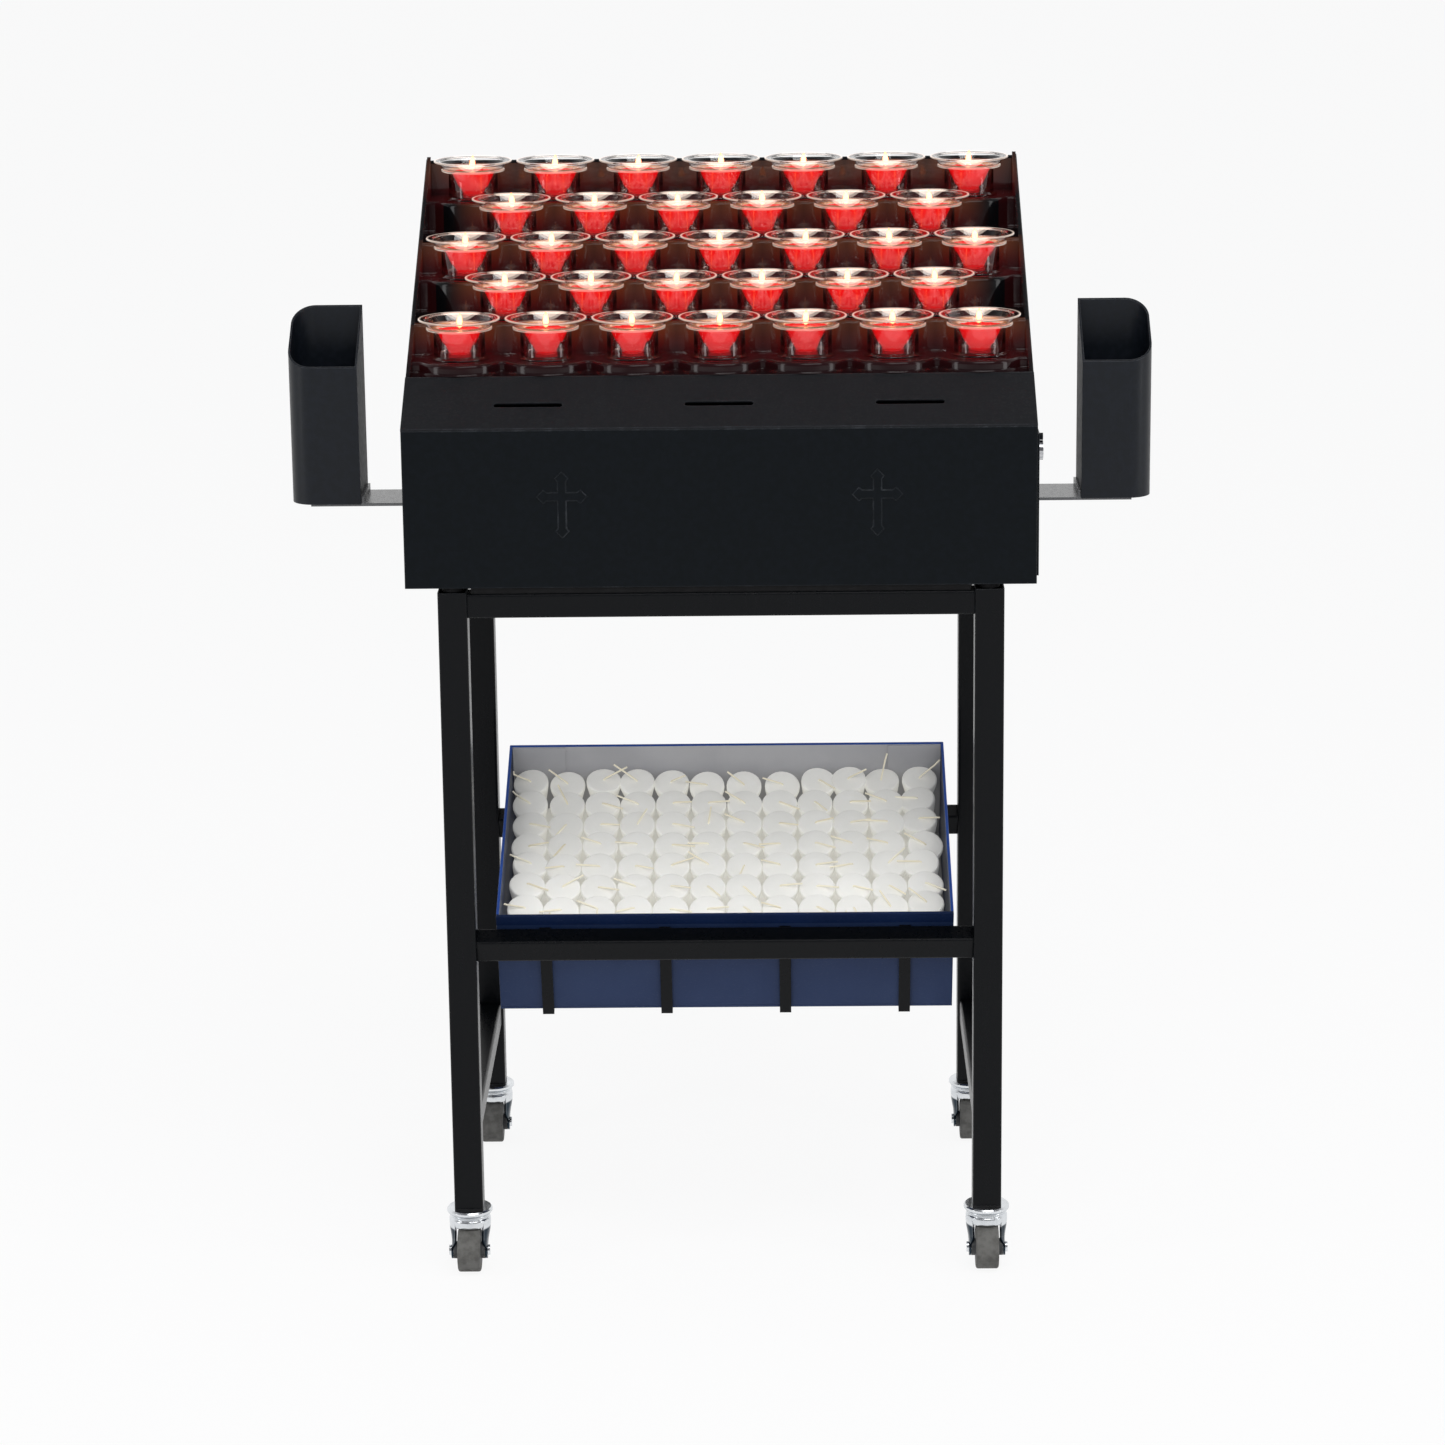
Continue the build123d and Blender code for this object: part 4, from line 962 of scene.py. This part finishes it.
def lying_wick(candle, rise):
    """A wick that stands up from a candle's top and lies over to one side."""
    way = math.radians(-14 + draw.gauss(0, 16) if draw.random() < 0.7 else draw.uniform(0, 360))
    if draw.random() < 0.4:
        way += math.pi
    long = draw.uniform(20, 26) * MM
    climb = draw.uniform(*rise)
    start = candle @ Vector((0, 0, 28.0 * MM))
    up = candle.to_3x3() @ Vector((0, 0, 1))
    out = candle.to_3x3() @ Vector((math.cos(way), math.sin(way), 0))
    line = [start - up * 1.5 * MM, start + up * 1.2 * MM]
    line += [start + up * (1.9 * MM + climb * s * long) + out * s * long for s in WICK_REACH]
    tube(threads, [inside_walls(p, 1.6 * MM) for p in line], [WICK_RADIUS] * len(line), 7)


for row in range(ROWS):
    for column in range(COLUMNS):
        at_edge = column in (0, COLUMNS - 1) or row == ROWS - 1
        loose = 2.4 if at_edge else 0.6
        across = (column - (COLUMNS - 1) / 2) * COLUMN_PITCH
        across += draw.uniform(-0.5, 0.5) * MM * loose - (0.5 * MM if column == COLUMNS - 1 else 0)
        along = margin + row * ROW_PITCH + draw.uniform(-0.6, 0.6) * MM
        lowest = Matrix.Translation((across, margin + row * ROW_PITCH, BOARD))
        turned(spares, SPARE_OUTLINE, IN_CRADLE @ lowest, 18)
        if row < ROWS - 1 and column < COLUMNS - 1:
            nested = Matrix.Translation((COLUMN_PITCH / 2, ROW_PITCH / 2, SPARE_HIGH - SUNK)) @ lowest
            turned(spares, SPARE_OUTLINE, IN_CRADLE @ nested, 18)
        high = BOARD + 2 * SPARE_HIGH + draw.uniform(-0.2, 1.6) * MM * loose
        foot = Matrix.Translation((across, along + 3 * MM, high))
        lean = Matrix.Rotation(math.radians(LEAN + draw.uniform(-1, 1) * LEAN_SPREAD * loose), 4, "X")
        sway = Matrix.Rotation(math.radians(draw.uniform(-2, 2) * loose * loose * 0.8), 4, "Y")
        candle = IN_CRADLE @ foot @ lean @ sway
        spin = Matrix.Rotation(draw.uniform(0, math.tau), 4, "Z")
        turned(spares, rounded(SPARE_OUTLINE, 1.4 * MM, 2), candle @ spin, 28)
        lying_wick(candle, (0.02, 0.22) if row < ROWS - 1 else (0.1, 1.0))
for v in spares.verts:
    v.co = inside_walls(v.co, 0.3 * MM)
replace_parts(piece("spare_candle_wax", "carton", ["spare_wax"], spares), "spare_candles")
piece("spare_candle_wicks", "carton", ["wick_thread"], threads)


# ---------------------------------------------------------------- camera, floor and light

CAMERA_PLACE = (0.060, -4.476, 1.717)
TURNED_LEFT, LOOKS_DOWN, TIPPED = 0.80, 14.71, -0.66   # degrees

lens_camera = bpy.data.cameras.new("view_camera")
lens_camera.sensor_width, lens_camera.lens = 36.0, 107.8
lens_camera.clip_start, lens_camera.clip_end = 0.1, 90.0
camera = bpy.data.objects.new("view_camera", lens_camera)
scene.collection.objects.link(camera)
scene.camera = camera
camera.location = CAMERA_PLACE
camera.rotation_euler = (
    Matrix.Rotation(math.radians(TURNED_LEFT), 3, "Z")
    @ Matrix.Rotation(math.radians(90.0 - LOOKS_DOWN), 3, "X")
    @ Matrix.Rotation(math.radians(TIPPED), 3, "Z")
).to_euler()

FLOOR_REACH = 45.0
floor_mesh = bpy.data.meshes.new("studio_floor")
floor_corners = [(x * FLOOR_REACH, y * FLOOR_REACH, 0) for x, y in ((-1, -1), (1, -1), (1, 1), (-1, 1))]
floor_mesh.from_pydata(floor_corners, [], [(0, 1, 2, 3)])
floor = bpy.data.objects.new("studio_floor", floor_mesh)
scene.collection.objects.link(floor)


WHITE = (1.0, 1.0, 1.0, 1.0)
ROOM_LIGHT = (0.50, 0.51, 0.53, 1.0)
DIM_ROOM = (0.2, 0.2, 0.21, 1.0)                 # what gloss sees in front of the rack and above it
DARK_THROUGH_GLASS = (0.06, 0.05, 0.05, 1.0)     # what glass sees above it


def seen_rays(t):
    """1 for the rays that look: from the camera, by reflection and through glass."""
    path = t.node("ShaderNodeLightPath").outputs
    seen = t.math("ADD", path["Is Camera Ray"], path["Is Glossy Ray"])
    return t.math("ADD", seen, path["Is Transmission Ray"], clamp=True)


def studio_floor(t):
    grain = t.noise(t.place(), 30.0, 4.0)
    base = t.blend(grain, tone(236, 236, 237), tone(240, 240, 241))
    lit = t.node(
        "ShaderNodeBsdfPrincipled", {"Base Color": base, "Roughness": 0.85, "Specular IOR Level": 0.1}
    )
    white = t.node("ShaderNodeEmission", {"Color": WHITE, "Strength": 1.0})
    share = t.math("MULTIPLY", seen_rays(t), 0.9)
    return t.node("ShaderNodeMixShader", {0: share, 1: lit.outputs[0], 2: white.outputs[0]}).outputs[0]


floor_mesh.materials.append(finish("studio_floor", studio_floor))

world = bpy.data.worlds.new("studio")
scene.world = world
world.use_nodes = True
world.node_tree.nodes.clear()
w = Tree(world.node_tree)
rays = w.node("ShaderNodeLightPath").outputs
way = w.node("ShaderNodeSeparateXYZ", {0: w.node("ShaderNodeTexCoord").outputs["Generated"]}).outputs
white_back = w.math("MULTIPLY", w.ramp(way[1], -0.5, 0.25), w.ramp(way[2], 0.85, 0.5))
room = w.blend(white_back, DIM_ROOM, WHITE)
up_through_glass = w.math("MULTIPLY", rays["Is Transmission Ray"], w.ramp(way[2], 0.1, 0.4))
room = w.blend(up_through_glass, room, DARK_THROUGH_GLASS)
looked = w.blend(rays["Is Camera Ray"], room, WHITE)
sky = w.node("ShaderNodeBackground", {"Color": w.blend(seen_rays(w), ROOM_LIGHT, looked), "Strength": 1.0})
w.feed(w.node("ShaderNodeOutputWorld").inputs["Surface"], sky.outputs[0])


def soft_lamp(name, power, size, place, target, reflected=True):
    light = bpy.data.lights.new(name, "AREA")
    light.shape = "RECTANGLE"
    light.size, light.size_y = size
    light.energy = power
    lamp = bpy.data.objects.new(name, light)
    scene.collection.objects.link(lamp)
    lamp.visible_glossy = reflected
    lamp.location = place
    lamp.rotation_euler = (Vector(target) - Vector(place)).to_track_quat("-Z", "Y").to_euler()


soft_lamp("key_softbox", 36.0, (2.2, 1.4), (0.6, -1.6, 3.4), (0, 0, 0.8))
soft_lamp("front_softbox", 117.0, (6.0, 3.4), (-0.3, -6.0, 3.6), (0, 0, 0.5), reflected=False)
soft_lamp("left_strip", 10.0, (0.5, 2.0), (-2.4, -1.2, 1.4), (0, 0, 0.6))
soft_lamp("right_strip", 10.0, (0.5, 2.0), (2.4, -1.0, 1.4), (0, 0, 0.6))

scene.view_settings.view_transform = "Standard"
